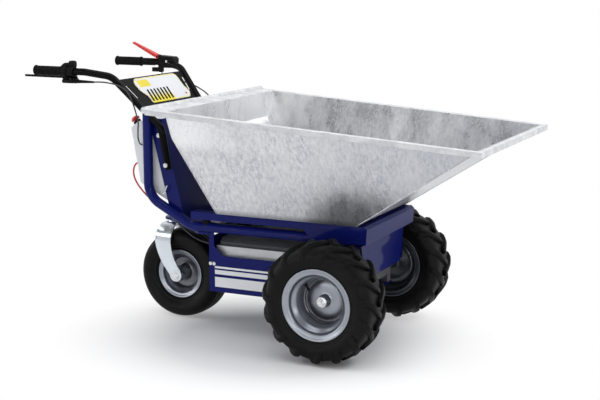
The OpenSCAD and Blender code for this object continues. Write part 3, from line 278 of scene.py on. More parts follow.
lit = put(surround, "MixShader", {"Fac": path["Is Glossy Ray"], 1: even.outputs["Background"],
                                  2: mirrored_room.outputs["Background"]})
seen = work_out(surround, "MAXIMUM", path["Is Camera Ray"], path["Is Transmission Ray"])
both = put(surround, "MixShader", {"Fac": seen, 1: lit.outputs["Shader"],
                                   2: backdrop.outputs["Background"]})
surround.node_tree.links.new(both.outputs["Shader"],
                             surround.node_tree.nodes["World Output"].inputs["Surface"])


def soft_box(name, spot, aim, size, power):
    """A square soft box that faces a point."""
    bpy.ops.object.select_all(action="DESELECT")
    bpy.ops.object.light_add(type="AREA", location=spot)
    lamp = bpy.context.object
    lamp.name = name
    lamp.rotation_euler = (Vector(aim) - Vector(spot)).to_track_quat("-Z", "Y").to_euler()
    lamp.data.size = size
    lamp.data.energy = power
    return lamp


soft_box("overhead_box", (0.0, -0.9, 4.2), (0, 0, 0.3), 3.0, 55)
camera_box = soft_box("camera_box", (-2.6, -3.4, 2.2), (0, 0, 0.4), 2.0, 12)
camera_box.visible_glossy = False
soft_box("front_box", (2.6, 0.3, 3.6), (0, 0, 0.6), 2.0, 90)
strip = soft_box("strip_box", (-3.0, -0.9, 2.5), (0, 0, 0.5), 2.4, 16)
strip.data.shape = "RECTANGLE"
strip.data.size_y = 0.04

# Chassis. Bent steel side tubes, cross tubes and folded plates, welded into one frame and then
# stove-enamelled in deep blue gloss; the paint is thin and wears paler on a few sharp edges.
def soft_edges(finish, radius, spots=0, depth=0.0, detail=2.0):
    """Rounds the look of the edges, over a bumpy skin of a given depth where there are spots."""
    normal = put(finish, "Bevel", {"Radius": radius}, samples=4).outputs["Normal"]
    if spots:
        normal = put(finish, "Bump", {"Height": grain(finish, spots, detail), "Distance": depth,
                                      "Strength": 1.0, "Normal": normal}).outputs["Normal"]
    feed(finish, "Normal", normal)


def worn_edges(finish, radius):
    """1 on the sharp edges of a piece, broken up by grain, and 0 on its flats."""
    bent_normal = put(finish, "Bevel", {"Radius": radius}, samples=4).outputs["Normal"]
    flat_normal = put(finish, "NewGeometry").outputs["Normal"]
    along = put(finish, "VectorMath", {0: bent_normal, 1: flat_normal}, operation="DOT_PRODUCT")
    edge = between(finish, along.outputs["Value"], 1.0, 0.0, 0.80, 0.97)
    broken = between(finish, grain(finish, 90), 0.0, 1.0, 0.40, 0.62)
    return product(finish, edge, broken)


def dress(names, finish):
    """Gives nodes of the construction model their finish."""
    for name in names:
        nodes[name].data.materials.clear()
        nodes[name].data.materials.append(finish)


deep_blue = (0.0034, 0.0068, 0.092)
clear_blue = (0.0056, 0.0105, 0.130)
worn_blue = (0.055, 0.070, 0.20)
enamel_blue = new_finish("enamel_blue", 0.35, coat=0.22, specular=0.03)
enamel = blend_of(enamel_blue, grain(enamel_blue, 9), deep_blue, clear_blue)
worn = worn_edges(enamel_blue, 0.0012)
paint(enamel_blue, worn, enamel, worn_blue)
dull(enamel_blue, 40, 0.28, 0.46)
soft_edges(enamel_blue, 0.0018, 220, 0.00012)
dress(["right_frame_tube", "left_frame_tube", "cross_tubes", "front_plate", "hinge_ears", "belly_pan",
       "caster_bridge", "back_panel", "hinge_rod"], enamel_blue)

# Side skirts. Folded and laser-cut steel sheets bolted outside the battery tray, in the same enamel,
# with three stripes of white vinyl film that start just ahead of the rear post.
stripes = ((0.241, 0.248), (0.220, 0.235), (0.175, 0.210))
stripe_start = -0.123
skirt_face = 0.2028
skirt_film = new_finish("skirt_film", 0.35, coat=0.16, specular=0.04)
spot = axes(skirt_film)
outside = work_out(skirt_film, "GREATER_THAN", work_out(skirt_film, "ABSOLUTE", spot["Y"]), skirt_face)
ahead = work_out(skirt_film, "GREATER_THAN", spot["X"], stripe_start)
on_stripe = 0.0
for low, high in stripes:
    above = work_out(skirt_film, "GREATER_THAN", spot["Z"], low)
    below = work_out(skirt_film, "LESS_THAN", spot["Z"], high)
    on_stripe = work_out(skirt_film, "MAXIMUM", on_stripe, product(skirt_film, above, below))
on_stripe = product(skirt_film, on_stripe, outside, ahead)
film_white = blend_of(skirt_film, grain(skirt_film, 14), (0.72, 0.73, 0.76), (0.80, 0.81, 0.83))
enamel = blend_of(skirt_film, grain(skirt_film, 9), deep_blue, clear_blue)
paint(skirt_film, on_stripe, enamel, film_white)
dull(skirt_film, 40, 0.28, 0.46)
soft_edges(skirt_film, 0.0015, 220, 0.00010)
dress(["side_skirts"], skirt_film)

# Battery tray and drive. A bright steel battery case with a lid, two sealed batteries inside, and a
# cast transaxle with its motor between the front wheels.
tray_steel = new_finish("tray_steel", 0.4, metallic=0.8)
tint(tray_steel, 12, (0.36, 0.37, 0.39), (0.55, 0.56, 0.58), 6.0)
dull(tray_steel, 60, 0.30, 0.52)
soft_edges(tray_steel, 0.002)
dress(["battery_case"], tray_steel)
lid_grey = new_finish("lid_grey", 0.5, specular=0.3)
tint(lid_grey, 25, (0.050, 0.052, 0.060), (0.080, 0.082, 0.092))
dull(lid_grey, 120, 0.4, 0.6)
soft_edges(lid_grey, 0.002, 500, 0.0001)
dress(["battery_lid", "batteries"], lid_grey)
cast_grey = new_finish("cast_grey", 0.55, metallic=0.3)
tint(cast_grey, 30, (0.08, 0.08, 0.085), (0.17, 0.17, 0.18), 6.0)
dull(cast_grey, 90, 0.45, 0.7)
soft_edges(cast_grey, 0.003, 350, 0.0004, 3.0)
dress(["transaxle_housing", "drive_motor"], cast_grey)

# Bright fastenings. Kingpin, axles, bearings and bolts are turned steel with a thin zinc
# plate, slightly blue in places and duller where hands and dirt have been.
zinc_bright = new_finish("zinc_bright", 0.25, metallic=1.0)
tint(zinc_bright, 55, (0.58, 0.60, 0.64), (0.78, 0.78, 0.77))
dull(zinc_bright, 130, 0.18, 0.38)
soft_edges(zinc_bright, 0.0010)
dress(["kingpin", "axle_bearings", "caster_bearings", "right_axle", "left_axle", "caster_axle",
       "frame_bolts", "hopper_bolts"], zinc_bright)

# Rest pads. Moulded rubber buffers, pushed onto the side tubes of the chassis. The cradle lands on
# them when the hopper comes back down.
pad_rubber = new_finish("pad_rubber", 0.8, specular=0.06)
tint(pad_rubber, 70, (0.004, 0.004, 0.0042), (0.013, 0.013, 0.0135))
dull(pad_rubber, 150, 0.65, 0.9)
soft_edges(pad_rubber, 0.001, 600, 0.0002)
dress(["rest_pads"], pad_rubber)

# Controller box. Folded sheet in two halves, powder-coated off-white, screwed to the back panel, with
# the motor controller inside and a red stop button on a black collar on its bevel. The black moulding
# and the red plastic are those of the hand controls too.
box_white = new_finish("box_white", 0.45)
tint(box_white, 10, (0.66, 0.68, 0.70), (0.76, 0.77, 0.79))
dull(box_white, 80, 0.38, 0.58)
soft_edges(box_white, 0.003, 900, 0.00008)
dress(["controller_case", "controller_cover"], box_white)
black_moulding = new_finish("black_moulding", 0.5, specular=0.07)
tint(black_moulding, 45, (0.003, 0.003, 0.0034), (0.008, 0.008, 0.0085))
dull(black_moulding, 140, 0.38, 0.62)
soft_edges(black_moulding, 0.002, 800, 0.00015)
dress(["motor_controller", "control_pod", "brake_lever",
       "direction_rocker", "lever_housing", "fascia_plate", "estop_base"], black_moulding)
signal_red = new_finish("signal_red", 0.35)
tint(signal_red, 40, (0.50, 0.012, 0.012), (0.68, 0.030, 0.028))
dull(signal_red, 110, 0.28, 0.5)
soft_edges(signal_red, 0.002)
dress(["estop_button", "hold_to_run_lever"], signal_red)

# Tether hook. A bent rod of bright steel for a loop of cord or chain, cut and bent cold. It is welded to
# the right flange of the back panel.
def pick(*pieces):
    """Selects only these pieces, with the first of them active."""
    bpy.ops.object.select_all(action="DESELECT")
    for piece in pieces:
        piece.select_set(True)
    bpy.context.view_layer.objects.active = pieces[0]


def smooth(degrees=40):
    """Shades the piece at hand smooth, apart from edges sharper than an angle."""
    bpy.ops.object.shade_smooth_by_angle(angle=radians(degrees))


hook_rod = 0.0050
hook_route = [
    (-0.314, -0.1845, 0.516), (-0.314, -0.190, 0.5162), (-0.3145, -0.1955, 0.5145), (-0.316, -0.1985, 0.509),
    (-0.3185, -0.199, 0.502), (-0.3215, -0.199, 0.494), (-0.3255, -0.199, 0.4885), (-0.331, -0.199, 0.487),
    (-0.3355, -0.199, 0.490), (-0.337, -0.199, 0.4955)]
pick(smooth_line("tether_hook", hook_route, hook_rod))
bpy.ops.object.convert(target="MESH")
smooth()
tether_hook = bpy.context.object
tether_hook.data.materials.append(zinc_bright)
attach(tether_hook, "chassis")

# Handles. Two bent steel tubes, bolted to the back panel. They are painted satin black, and the paint
# has a thin gloss of its own.
tube_black = new_finish("tube_black", 0.35, coat=0.10, specular=0.03)
tint(tube_black, 18, (0.002, 0.002, 0.0026), (0.0045, 0.0045, 0.0052))
dull(tube_black, 60, 0.28, 0.45)
soft_edges(tube_black, 0.001, 300, 0.0001)
dress(["right_handle_tube", "left_handle_tube"], tube_black)

# Grips. Soft rubber sleeves with moulded rings and a flange at both ends, pushed onto the handle tubes
# with a little soap; the closed end covers the cut tube.
def label(name):
    """Names the piece at hand and its mesh."""
    piece = bpy.context.object
    piece.name = name
    piece.data.name = name
    return piece


def all_points():
    """Selects all of the piece that is open in edit mode."""
    bpy.ops.mesh.select_all(action="SELECT")


def edit_all():
    """Opens the piece at hand in edit mode with all of it selected."""
    bpy.ops.object.mode_set(mode="EDIT")
    all_points()


def face_out():
    """Turns all the faces of the piece at hand outwards and closes edit mode."""
    all_points()
    bpy.ops.mesh.normals_make_consistent(inside=False)
    bpy.ops.object.mode_set(mode="OBJECT")


def drawn_line(name, spots):
    """A new mesh of one line drawn through points, left in edit mode."""
    bpy.ops.object.select_all(action="DESELECT")
    bpy.ops.mesh.primitive_plane_add(size=0.01, location=(0, 0, 0))
    piece = label(name)
    edit_all()
    bpy.ops.mesh.merge(type="CENTER")
    bpy.ops.transform.translate(value=spots[0])
    for here, there in zip(spots, spots[1:]):
        bpy.ops.mesh.extrude_vertices_move(TRANSFORM_OT_translate={"value": there - here})
    return piece


merge_gap = 0.00002


def turned(name, section, middle, steps, levels=0, along=(0, -1, 0), up=(0, 0, 1)):
    """A piece turned about a line, with levels of rounding; its section is a row of points, millimetres
    along the line from the middle and up from the line, and closes on itself unless it ends on the line."""
    drawn = [middle + Vector(along) * reach / 1000 + Vector(up) * radius / 1000 for reach, radius in section]
    if section[-1][1] > 0:
        drawn.append(drawn[0])
    piece = drawn_line(name, drawn)
    all_points()
    bpy.ops.mesh.spin(steps=steps, angle=2 * pi, center=middle, axis=along)
    all_points()
    bpy.ops.mesh.remove_doubles(threshold=merge_gap)
    face_out()
    if levels:
        rounder = piece.modifiers.new("rounder", "SUBSURF")
        rounder.levels = levels
        rounder.render_levels = levels
        bpy.ops.object.modifier_apply(modifier=rounder.name)
    smooth()
    return piece


def join(*pieces):
    """Makes one piece of several, under the name of the first."""
    pick(*pieces)
    bpy.ops.object.join()
    return pieces[0]


def mirrored(piece, name):
    """The twin of a piece on the other side of the buggy, with its own mesh."""
    pick(piece)
    bpy.ops.object.duplicate()
    twin = label(name)
    edit_all()
    bpy.ops.transform.resize(value=(1, -1, 1), center_override=(0, 0, 0))
    bpy.ops.mesh.flip_normals()
    bpy.ops.object.mode_set(mode="OBJECT")
    return twin


def fit(piece, body, slot, finish, *stands_for):
    """Hangs a finished piece on its body, in place of nodes where it stands for them."""
    piece.data.materials.clear()
    piece.data.materials.append(finish)
    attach(piece, body)
    if stands_for:
        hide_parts(*stands_for)


grip_end = Vector((-0.809, -0.262, 0.908))
grip_bore = 12.6
grip_skin = 16.5
groove = grip_skin - 1.3
flange_edge = 17.6
grip_flange = 18.5
grip_length = 114
rings = 14
ring_pitch = 7.0
grip_section = [(0, 0), (0, 14.5), (0.7, 17.4), (1.8, grip_flange), (3.4, grip_flange), (4.4, flange_edge),
                (5.2, grip_skin)]
for i in range(rings):
    at = 7.0 + ring_pitch * i
    grip_section += [(at, grip_skin), (at + 0.6, groove), (at + 1.9, groove), (at + 2.5, grip_skin)]
grip_section += [(108.6, grip_skin), (109.6, flange_edge), (110.6, grip_flange), (112.4, grip_flange),
                 (113.6, flange_edge), (grip_length, 15.5), (grip_length, grip_bore), (3, grip_bore), (3, 0)]
right_grip = turned("sleeve_grips", grip_section, grip_end, 28, along=(1, 0, 0))
left_grip = mirrored(right_grip, "left_sleeve")
fit(join(right_grip, left_grip), "chassis", "grip_rubber", pad_rubber, "grips")

# Left sleeve. A second, slimmer ribbed sleeve of the same rubber, pushed onto the left handle before
# its grip. It covers the tube from the grip to the lever housing.
sleeve_end = Vector((-0.693, 0.262, 0.908))
sleeve_bore = 12.4
sleeve_root = 13.2
sleeve_skin = 14.0
sleeve_ribs = 9
rib_pitch = 6.4
sleeve_section = [(0, sleeve_bore), (0, 13.4)]
for i in range(sleeve_ribs):
    at = rib_pitch * i
    sleeve_section += [(1.0 + at, sleeve_skin), (4.4 + at, sleeve_skin), (5.0 + at, sleeve_root),
                       (6.8 + at, sleeve_root)]
sleeve_section += [(59, sleeve_root), (59, sleeve_bore)]
left_sleeve = turned("left_sleeve", sleeve_section, sleeve_end, 28, along=(1, 0, 0))
fit(left_sleeve, "chassis", "grip_rubber", pad_rubber)

# Lever fittings. A zinc ferrule holds the cable on the post of the lever housing, and a pan-head screw
# closes the housing on the side of the operator's right hand.
ferrule_foot = Vector((-0.604, 0.250, 0.8500))
ferrule_section = [(0, 8.02), (0, 9.6), (1, 10.4), (7, 10.4), (8, 9.4), (11, 9.4), (12, 10.4), (20, 10.4),
                   (21, 9.8), (21, 8.02)]
ferrule = turned("cable_ferrule", ferrule_section, ferrule_foot, 24, along=(0, 0, 1), up=(1, 0, 0))
fit(ferrule, "chassis", "zinc_plate", zinc_bright)
screw_seat = Vector((-0.572, 0.242, 0.912))
screw_section = [(-0.5, 0), (-0.5, 4.8), (1.0, 4.8), (2.4, 4.0), (3.2, 2.4), (3.2, 1.7), (2.0, 1.5), (2.0, 0)]
housing_screw = turned("housing_screw", screw_section, screw_seat, 20)
fit(housing_screw, "chassis", "zinc_plate", zinc_bright)

# Throttle. A moulded clamp on the right handle, and a thumb paddle that turns beside it on the same
# tube and curls forward at its top.
def choose(piece, wanted):
    """Selects the points of a piece that are wanted, in edit mode."""
    bpy.ops.object.mode_set(mode="EDIT")
    bpy.ops.mesh.select_mode(type="VERT")
    bpy.ops.mesh.select_all(action="DESELECT")
    bpy.ops.object.mode_set(mode="OBJECT")
    for point in piece.data.vertices:
        point.select = wanted(point.co)
    bpy.ops.object.mode_set(mode="EDIT")


def ease(piece, width, segments=2, sharper_than=35):
    """Breaks the sharp edges of a piece."""
    bevel = piece.modifiers.new("eased", "BEVEL")
    bevel.width = width
    bevel.segments = segments
    bevel.limit_method = "ANGLE"
    bevel.angle_limit = radians(sharper_than)
    bpy.ops.object.modifier_apply(modifier=bevel.name)


def block(name, size, middle):
    """A block of a size in millimetres about its middle, left in edit mode."""
    bpy.ops.object.select_all(action="DESELECT")
    bpy.ops.mesh.primitive_cube_add(size=0.001, location=(0, 0, 0))
    piece = label(name)
    edit_all()
    bpy.ops.transform.resize(value=size)
    bpy.ops.transform.translate(value=middle)
    return piece


def drawn_up(name, size, middle, steps):
    """A moulded lump: a block drawn up from its top by steps in millimetres, each a share as wide as the
    last, with its edges well rounded."""
    piece = block(name, size, middle)
    choose(piece, lambda spot: spot.z > middle.z)
    top = middle + Vector((0, 0, size[2] / 2000))
    for step, share in steps:
        bpy.ops.mesh.extrude_region_move(TRANSFORM_OT_translate={"value": Vector(step) / 1000})
        top = top + Vector(step) / 1000
        bpy.ops.transform.resize(value=(share, share, 1), center_override=top)
    bpy.ops.object.mode_set(mode="OBJECT")
    ease(piece, 0.0036, 3, 45)
    smooth(50)
    return piece


right_tube = Vector((-0.668, -0.262, 0.908))
tube_bore = 12.6
clamp_section = [(-24, tube_bore), (-24, 19.4), (-21.4, 22), (-2.6, 22), (0, 19.4), (0, tube_bore)]
clamp = turned("throttle_clamp", clamp_section, right_tube, 32, along=(1, 0, 0))
hump_root = right_tube + Vector((-0.012, 0, 0.012))
hump_steps = (((2.3, 1, 6), 0.80), ((2.8, 1, 5), 0.70))
hump = drawn_up("hump", (23.6, 30, 14), hump_root, hump_steps)
fit(join(clamp, hump), "chassis", "black_plastic", black_moulding, "throttle_body")
ring_section = [(0.4, tube_bore), (0.4, 17.4), (2.0, 19), (24.4, 19), (26, 17.4), (26, tube_bore)]
paddle_ring = turned("thumb_paddle", ring_section, right_tube, 32, along=(1, 0, 0))
paddle_root = right_tube + Vector((0.0132, 0.004, 0.0172))
paddle_steps = (((-0.3, 2, 7), 0.96), ((-1.2, 3, 6), 0.90), ((-1.0, 2, 4), 0.80))
paddle = drawn_up("paddle", (25, 26, 6), paddle_root, paddle_steps)
fit(join(paddle_ring, paddle), "throttle_paddle", "black_plastic", black_moulding, "thumb_throttle")

# Brake perch. A cast perch hangs under the clamp with the pivot of the brake lever, and a ribbed rubber
# boot leads the brake cable out of it.
def eased_block(name, size, middle, rounding):
    """A block with rounded edges."""
    piece = block(name, size, middle)
    bpy.ops.object.mode_set(mode="OBJECT")
    ease(piece, rounding, 3)
    smooth()
    return piece


perch_mid = Vector((-0.666, -0.255, 0.874))
neck_mid = Vector((-0.680, -0.262, 0.883))
lever_post = Vector((-0.663, -0.232, 0.867))
boot_foot = Vector((-0.642, -0.262, 0.874))
perch = eased_block("lever_perch", (47.6, 41.6, 13.8), perch_mid, 0.0045)
neck = eased_block("perch_neck", (20, 16, 12), neck_mid, 0.003)
boss_section = [(0, 0), (0, 12.4), (1.6, 14), (12.6, 14), (13.9, 12.6), (13.9, 4), (22, 4), (22, 8),
                (25, 7.6), (26, 6.4), (26, 0)]
boss = turned("perch_boss", boss_section, lever_post, 32, along=(0, 0, 1), up=(1, 0, 0))
boot_ribs = 6
boot_section = [(-2, 0), (-2, 7.6), (4, 7.6)]
for i in range(boot_ribs):
    at = 5 * i
    slimmer = 0.3 * i
    boot_section += [(6 + at, 7.2 - slimmer), (7 + at, 6.0 - slimmer), (9 + at, 6.0 - slimmer),
                     (10 + at, 6.9 - slimmer)]
boot_section += [(40, 5.2), (60, 4.3), (79, 3.5), (80, 3.0), (80, 0)]
boot = turned("cable_boot", boot_section, boot_foot, 24, along=(1, 0, 0))
fit(join(perch, neck, boss, boot), "chassis", "black_plastic", black_moulding, "brake_perch")

# Console. A thin white moulded cover with rounded corners and seven cooling slots, glued over the black
# plate between the handles. A yellow line is printed round it, and yellow shades up between the slots.
console_foot = Vector((-0.408, 0, 0.783))
console_up = Vector((-0.665, 0, 0.7467))
console_out = Vector((0.7467, 0, 0.665))
plate_half = 1.5
cover_thick = 2.0
cover_outline = [(-112, 12), (150, 12), (170, 38), (157, 66), (160, 112), (146, 124), (-122, 124),
                 (-142, 106), (-138, 70), (-112, 42)]
cover_corner = 8.0
cover_border = 0.0016
printed_line = 0.0030


def on_console(side, up, out):
    """A point of the console, millimetres to the left, up its slope and out from the middle of its
    plate."""
    return console_foot + (Vector((0, side, 0)) + up * console_up + out * console_out) / 1000


def rounded_plate(name, corners, low, thick, corner_radius):
    """A plate on the console between the corners of an outline, with its corners rounded."""
    piece = drawn_line(name, [on_console(side, up, low) for side, up in corners])
    all_points()
    bpy.ops.mesh.edge_face_add()
    bpy.ops.mesh.bevel(offset=corner_radius / 1000, segments=4, affect="VERTICES", clamp_overlap=True)
    all_points()
    bpy.ops.mesh.extrude_region_move(TRANSFORM_OT_translate={"value": console_out * thick / 1000})
    return piece


cover = rounded_plate("console_cover", cover_outline, plate_half, cover_thick, cover_corner)
for name in ("white_part", "printed_part"):
    cover.data.materials.append(bpy.data.materials.new(name))
for inset, part in ((cover_border, 1), (printed_line, 0)):
    bpy.ops.mesh.inset(thickness=inset)
    cover.active_material_index = part
    bpy.ops.object.material_slot_assign()
face_out()

# The slots lean, and are cut through the cover together
slot_count = 7
slot_wide = 11.5
slot_high = 52.0
slot_lean = -8.0
slot_pitch = 22.2
slot_corner = 3.4
slot_left = -105.0
slot_right = slot_left + slot_wide
slot_foot = 19.0
slot_head = slot_foot + slot_high
cut_past = 2.0
slot_outline = [(slot_left, slot_foot), (slot_right, slot_foot), (slot_right - slot_lean, slot_head),
                (slot_left - slot_lean, slot_head)]
slots = rounded_plate("slots", slot_outline, plate_half - cut_past, cover_thick + 2 * cut_past, slot_corner)
all_points()
bpy.ops.mesh.normals_make_consistent(inside=False)
for i in range(slot_count - 1):
    bpy.ops.mesh.duplicate_move(TRANSFORM_OT_translate={"value": (0, slot_pitch / 1000, 0)})
bpy.ops.object.mode_set(mode="OBJECT")
pick(cover)
slotted = cover.modifiers.new("slotted", "BOOLEAN")
slotted.object = slots
slotted.solver = "EXACT"
bpy.ops.object.modifier_apply(modifier=slotted.name)
bpy.data.objects.remove(slots)
printed = cover.data.attributes.new("printed", "FLOAT", "FACE")
# Faces on the walls of the slots are marked here for painted shade: they are coloured black like the dark
# hollow behind the cover
painted_slot_shade = cover.data.attributes.new("painted_slot_shade", "FLOAT", "FACE")
for face in cover.data.polygons:
    printed.data[face.index].value = float(face.material_index)
    face.material_index = 0
    at = face.center - console_foot
    on_edge = abs(face.normal.dot(console_out)) < 0.5
    by_slots = -0.108 < at.y < 0.06 and 0.0165 < at.dot(console_up) < 0.08
    painted_slot_shade.data[face.index].value = float(on_edge and by_slots)

# Yellow is printed on the line, on one patch and between the slots, and the walls of the slots are blackened
# as painted shade
slot_shade_black = (0.008, 0.008, 0.009)
cover_white = new_finish("cover_white", 0.4)
spot = put(cover_white, "VectorMath", {0: place(cover_white), 1: console_foot},
           operation="SUBTRACT").outputs["Vector"]
up = put(cover_white, "VectorMath", {0: spot, 1: console_up}, operation="DOT_PRODUCT").outputs["Value"]
side = axes(cover_white, spot)["Y"]
plain = blend_of(cover_white, grain(cover_white, 12), (0.60, 0.62, 0.65), (0.68, 0.69, 0.71))
yellow = blend_of(cover_white, grain(cover_white, 30), (0.62, 0.50, 0.015), (0.72, 0.60, 0.04))
line = put(cover_white, "Attribute", attribute_name="printed").outputs["Fac"]
patch = product(cover_white, within(cover_white, side, -0.120, -0.048, 0.0006),
                within(cover_white, up, 0.084, 0.114, 0.0006))
shaded = product(cover_white, within(cover_white, side, -0.108, 0.046, 0.003),
                 between(cover_white, up, 1.0, 0.0, 0.030, 0.062))
print_share = work_out(cover_white, "MAXIMUM", patch, shaded)
print_share = work_out(cover_white, "MAXIMUM", print_share, line)
slot_shade_share = put(cover_white, "Attribute", attribute_name="painted_slot_shade").outputs["Fac"]
face_colour = blend_of(cover_white, print_share, plain, yellow)
# Painted shade: the marked walls of the slots are coloured black
paint(cover_white, slot_shade_share, face_colour, slot_shade_black)
dull(cover_white, 90, 0.32, 0.5)
soft_edges(cover_white, 0.0008)
fit(cover, "chassis", "white_plastic", cover_white, "fascia_cover")
dress(["key_switch"], zinc_bright)

# Charge lamp. A small red lens in a bezel of the same plastic, snapped into the lower left corner of
# the console.
lamp_seat = on_console(136, 30, plate_half + cover_thick)
lamp_section = [(-0.4, 0), (-0.4, 4.2), (1.2, 4.2), (1.6, 3.8), (1.6, 3.2), (2.4, 2.9), (3.4, 1.8), (3.8, 0)]
charge_lamp = turned("charge_lamp", lamp_section, lamp_seat, 20, along=console_out, up=(0, 1, 0))
fit(charge_lamp, "chassis", "red_plastic", signal_red)

# Hopper. Hot-dipped galvanised sheet, folded and welded, with a turned rim and a rolled rear edge. The
# zinc shows spangle, runs down the walls and duller wiped patches. A painted highlight makes the top of the
# rear paler, and painted shade darkens the pouring end, the lower slope of the rear wall and the floor.
galvanised = new_finish("galvanised", 0.4, metallic=0.78)
runs = between(galvanised, grain(galvanised, 110, 6.0, (1.0, 1.0, 0.05)), 0.0, 1.0, 0.32, 0.68)
broad_runs = grain(galvanised, 14, 5.0, (1.0, 1.0, 0.16))
patches = between(galvanised, grain(galvanised, 5, 5.0), 0.0, 1.0, 0.36, 0.66)
flakes = put(galvanised, "TexVoronoi", {"Vector": place(galvanised), "Scale": 130.0}).outputs["Color"]
flakes = axes(galvanised, flakes)["X"]
clouded = grain(galvanised, 150, 5.0)
spot = axes(galvanised)
# Painted light: paler at the top of the rear of the tub
painted_rear_light = product(galvanised, between(galvanised, spot["X"], 0.70, 0.0, -0.12, 0.06),
                   between(galvanised, spot["Z"], 0.0, 1.0, 0.66, 0.70))
facing = axes(galvanised, put(galvanised, "NewGeometry").outputs["Normal"])["Y"]
end_wall = between(galvanised, work_out(galvanised, "ABSOLUTE", facing), 1.0, 0.0, 0.3, 0.5)
# Painted shade on the lower slope of the rear wall, on the faces that look along the buggy
painted_slope_shade = product(galvanised, between(galvanised, spot["X"], 0.75, 0.0, -0.10, -0.07),
                     between(galvanised, spot["Z"], 1.0, 0.0, 0.67, 0.70), end_wall)

# Each layer is a share of the surface and the colour laid over what is there, from the zinc to the painted
# light and shade
layers = ((between(galvanised, broad_runs, 0.0, 0.60, 0.42, 0.72), (0.84, 0.85, 0.86)),
          (between(galvanised, patches, 0.0, 0.24), (0.44, 0.465, 0.50)),
          (between(galvanised, clouded, 0.0, 0.20, 0.44, 0.68), (0.84, 0.84, 0.85)),
          (between(galvanised, flakes, 0.0, 0.22), (0.86, 0.87, 0.88)),
          # Painted shade, darker towards the pouring end
          (between(galvanised, spot["X"], 0.0, 0.42, 0.25, 0.80), (0.33, 0.35, 0.39)),
          (painted_rear_light, (0.92, 0.93, 0.94)),
          (painted_slope_shade, (0.34, 0.36, 0.39)),
          # Painted shade on the floor of the tub
          (between(galvanised, spot["Z"], 0.85, 0.0, 0.441, 0.458), (0.27, 0.28, 0.30)))
tone = blend_of(galvanised, runs, (0.36, 0.38, 0.42), (0.74, 0.75, 0.77))
for share, colour in layers:
    tone = blend_of(galvanised, share, tone, colour)
feed(galvanised, "Base Color", tone)
feed(galvanised, "Roughness", between(galvanised, broad_runs, 0.24, 0.42, 0.35, 0.70))
soft_edges(galvanised, 0.003, 150, 0.00008, 3.0)
dress(["hopper_floor", "hopper_sides", "hopper_ends"], galvanised)

# Corner welds. A run of weld metal closes each standing corner of the hopper. It was laid from outside
# before the tub was dipped, so it carries the same zinc.
weld_bead = 2.4
weld_ripple = 5.0


def weld(name, start, end):
    """A rippled bead of weld between two points."""
    along = (end - start).normalized()
    up = along.cross(Vector((0, 1, 0))).normalized()
    length = (end - start).length * 1000
    section = [(0, 0)]
    for i in range(int(length / weld_ripple)):
        section += [(weld_ripple * i + 0.6, weld_bead * 0.76), (weld_ripple * i + 3.2, weld_bead)]
    section.append((length, 0))
    return turned(name, section, start, 10, along=along, up=up)


front_low = Vector((0.415, -0.225, 0.437))
front_high = Vector((0.848, -0.3562, 0.7183))
rear_low = Vector((-0.101, -0.225, 0.437))
rear_fold = Vector((-0.197, -0.3518, 0.709))
rear_high = Vector((-0.197, -0.3854, 0.781))
right_welds = join(weld("corner_welds", front_low, front_high), weld("rear_weld", rear_low, rear_fold),
                   weld("fold_weld", rear_fold, rear_high))
left_welds = mirrored(right_welds, "left_welds")
fit(join(right_welds, left_welds), "tipping_hopper", "galvanised_sheet", galvanised)

# Hopper rim. Folded strip of the same sheet round the top of the tub, welded on before the dip. It is
# paler and smoother, because the zinc ran thick there.
rim_zinc = new_finish("rim_zinc", 0.4, metallic=0.6)
thick_runs = grain(rim_zinc, 22, 5.0)
pale_share = between(rim_zinc, thick_runs, 0.0, 1.0, 0.32, 0.68)
paint(rim_zinc, pale_share, (0.52, 0.535, 0.56), (0.76, 0.77, 0.79))
feed(rim_zinc, "Roughness", between(rim_zinc, thick_runs, 0.30, 0.50))
soft_edges(rim_zinc, 0.003, 180, 0.0003, 4.0)
dress(["hopper_rim"], rim_zinc)

# Tipping cradle. Folded steel rails, a front beam and two cross members under the hopper floor, welded,
# enamelled blue and hung on the hinge rod.
dress(["cradle_rails", "cradle_beam", "cradle_cross_members"], enamel_blue)

# Drive tyres. Pneumatic tyres of black rubber: a smooth moulded carcass with a rim guard above the bead,
# and two rows of swept lugs that start at the middle of the tread and run down over the shoulder.
def skin(finish, spots, detail, depth, strength):
    """Gives a finish a fine bumpy skin."""
    bump = put(finish, "Bump", {"Height": grain(finish, spots, detail), "Distance": depth,
                                "Strength": strength})
    feed(finish, "Normal", bump.outputs["Normal"])


def both_ways(half):
    """A section that is the same on both sides of the wheel, from its outer half."""
    return half + [(-out, radius) for out, radius in reversed(half) if out]


def shell(one_face, other_face):
    """The closed section of a wheel's wall, from the outer halves of its faces: the first is drawn from
    its edge to the middle of the wheel, the second from the middle back to the edge."""
    return both_ways(one_face) + both_ways(other_face[::-1])[::-1]


def fit_pair(piece, kind, slot, finish, *stands_for):
    """Hangs a piece on the right drive wheel, and its twin on the left one."""
    twin = mirrored(piece, "left_" + kind)
    for hung, side in ((piece, "right_"), (twin, "left_")):
        fit(hung, side + "drive_wheel", slot, finish, *[side + node for node in stands_for])


right_hub = Vector((0.344, -0.3215, 0.203))
tyre_black = new_finish("tyre_black", 0.6, specular=0.14)
dust = between(tyre_black, grain(tyre_black, 16, 6.0), 0.0, 1.0, 0.35, 0.75)
paint(tyre_black, dust, (0.0012, 0.0012, 0.0015), (0.0038, 0.0038, 0.0040))
dull(tyre_black, 120, 0.36, 0.60)
skin(tyre_black, 420, 3.0, 0.0002, 0.7)
carcass_outside = [
    (52, 104), (57.4, 108), (58.9, 112), (61.2, 118), (63.4, 122.4), (66.6, 124.0), (67.0, 127.6),
    (66.0, 130.2), (69.4, 137), (72.0, 145), (73.4, 152.5), (72.9, 160), (70.2, 169), (65.0, 178),
    (57.0, 184.6), (47.0, 188.4), (34.0, 190.2), (17.0, 190.9), (0, 191)]
carcass_inside = [(0, 181), (40, 179), (60, 164), (64, 150), (56, 126), (46, 104)]
carcass = turned("right_drive_tyre", shell(carcass_outside, carcass_inside), right_hub, 64, 1)

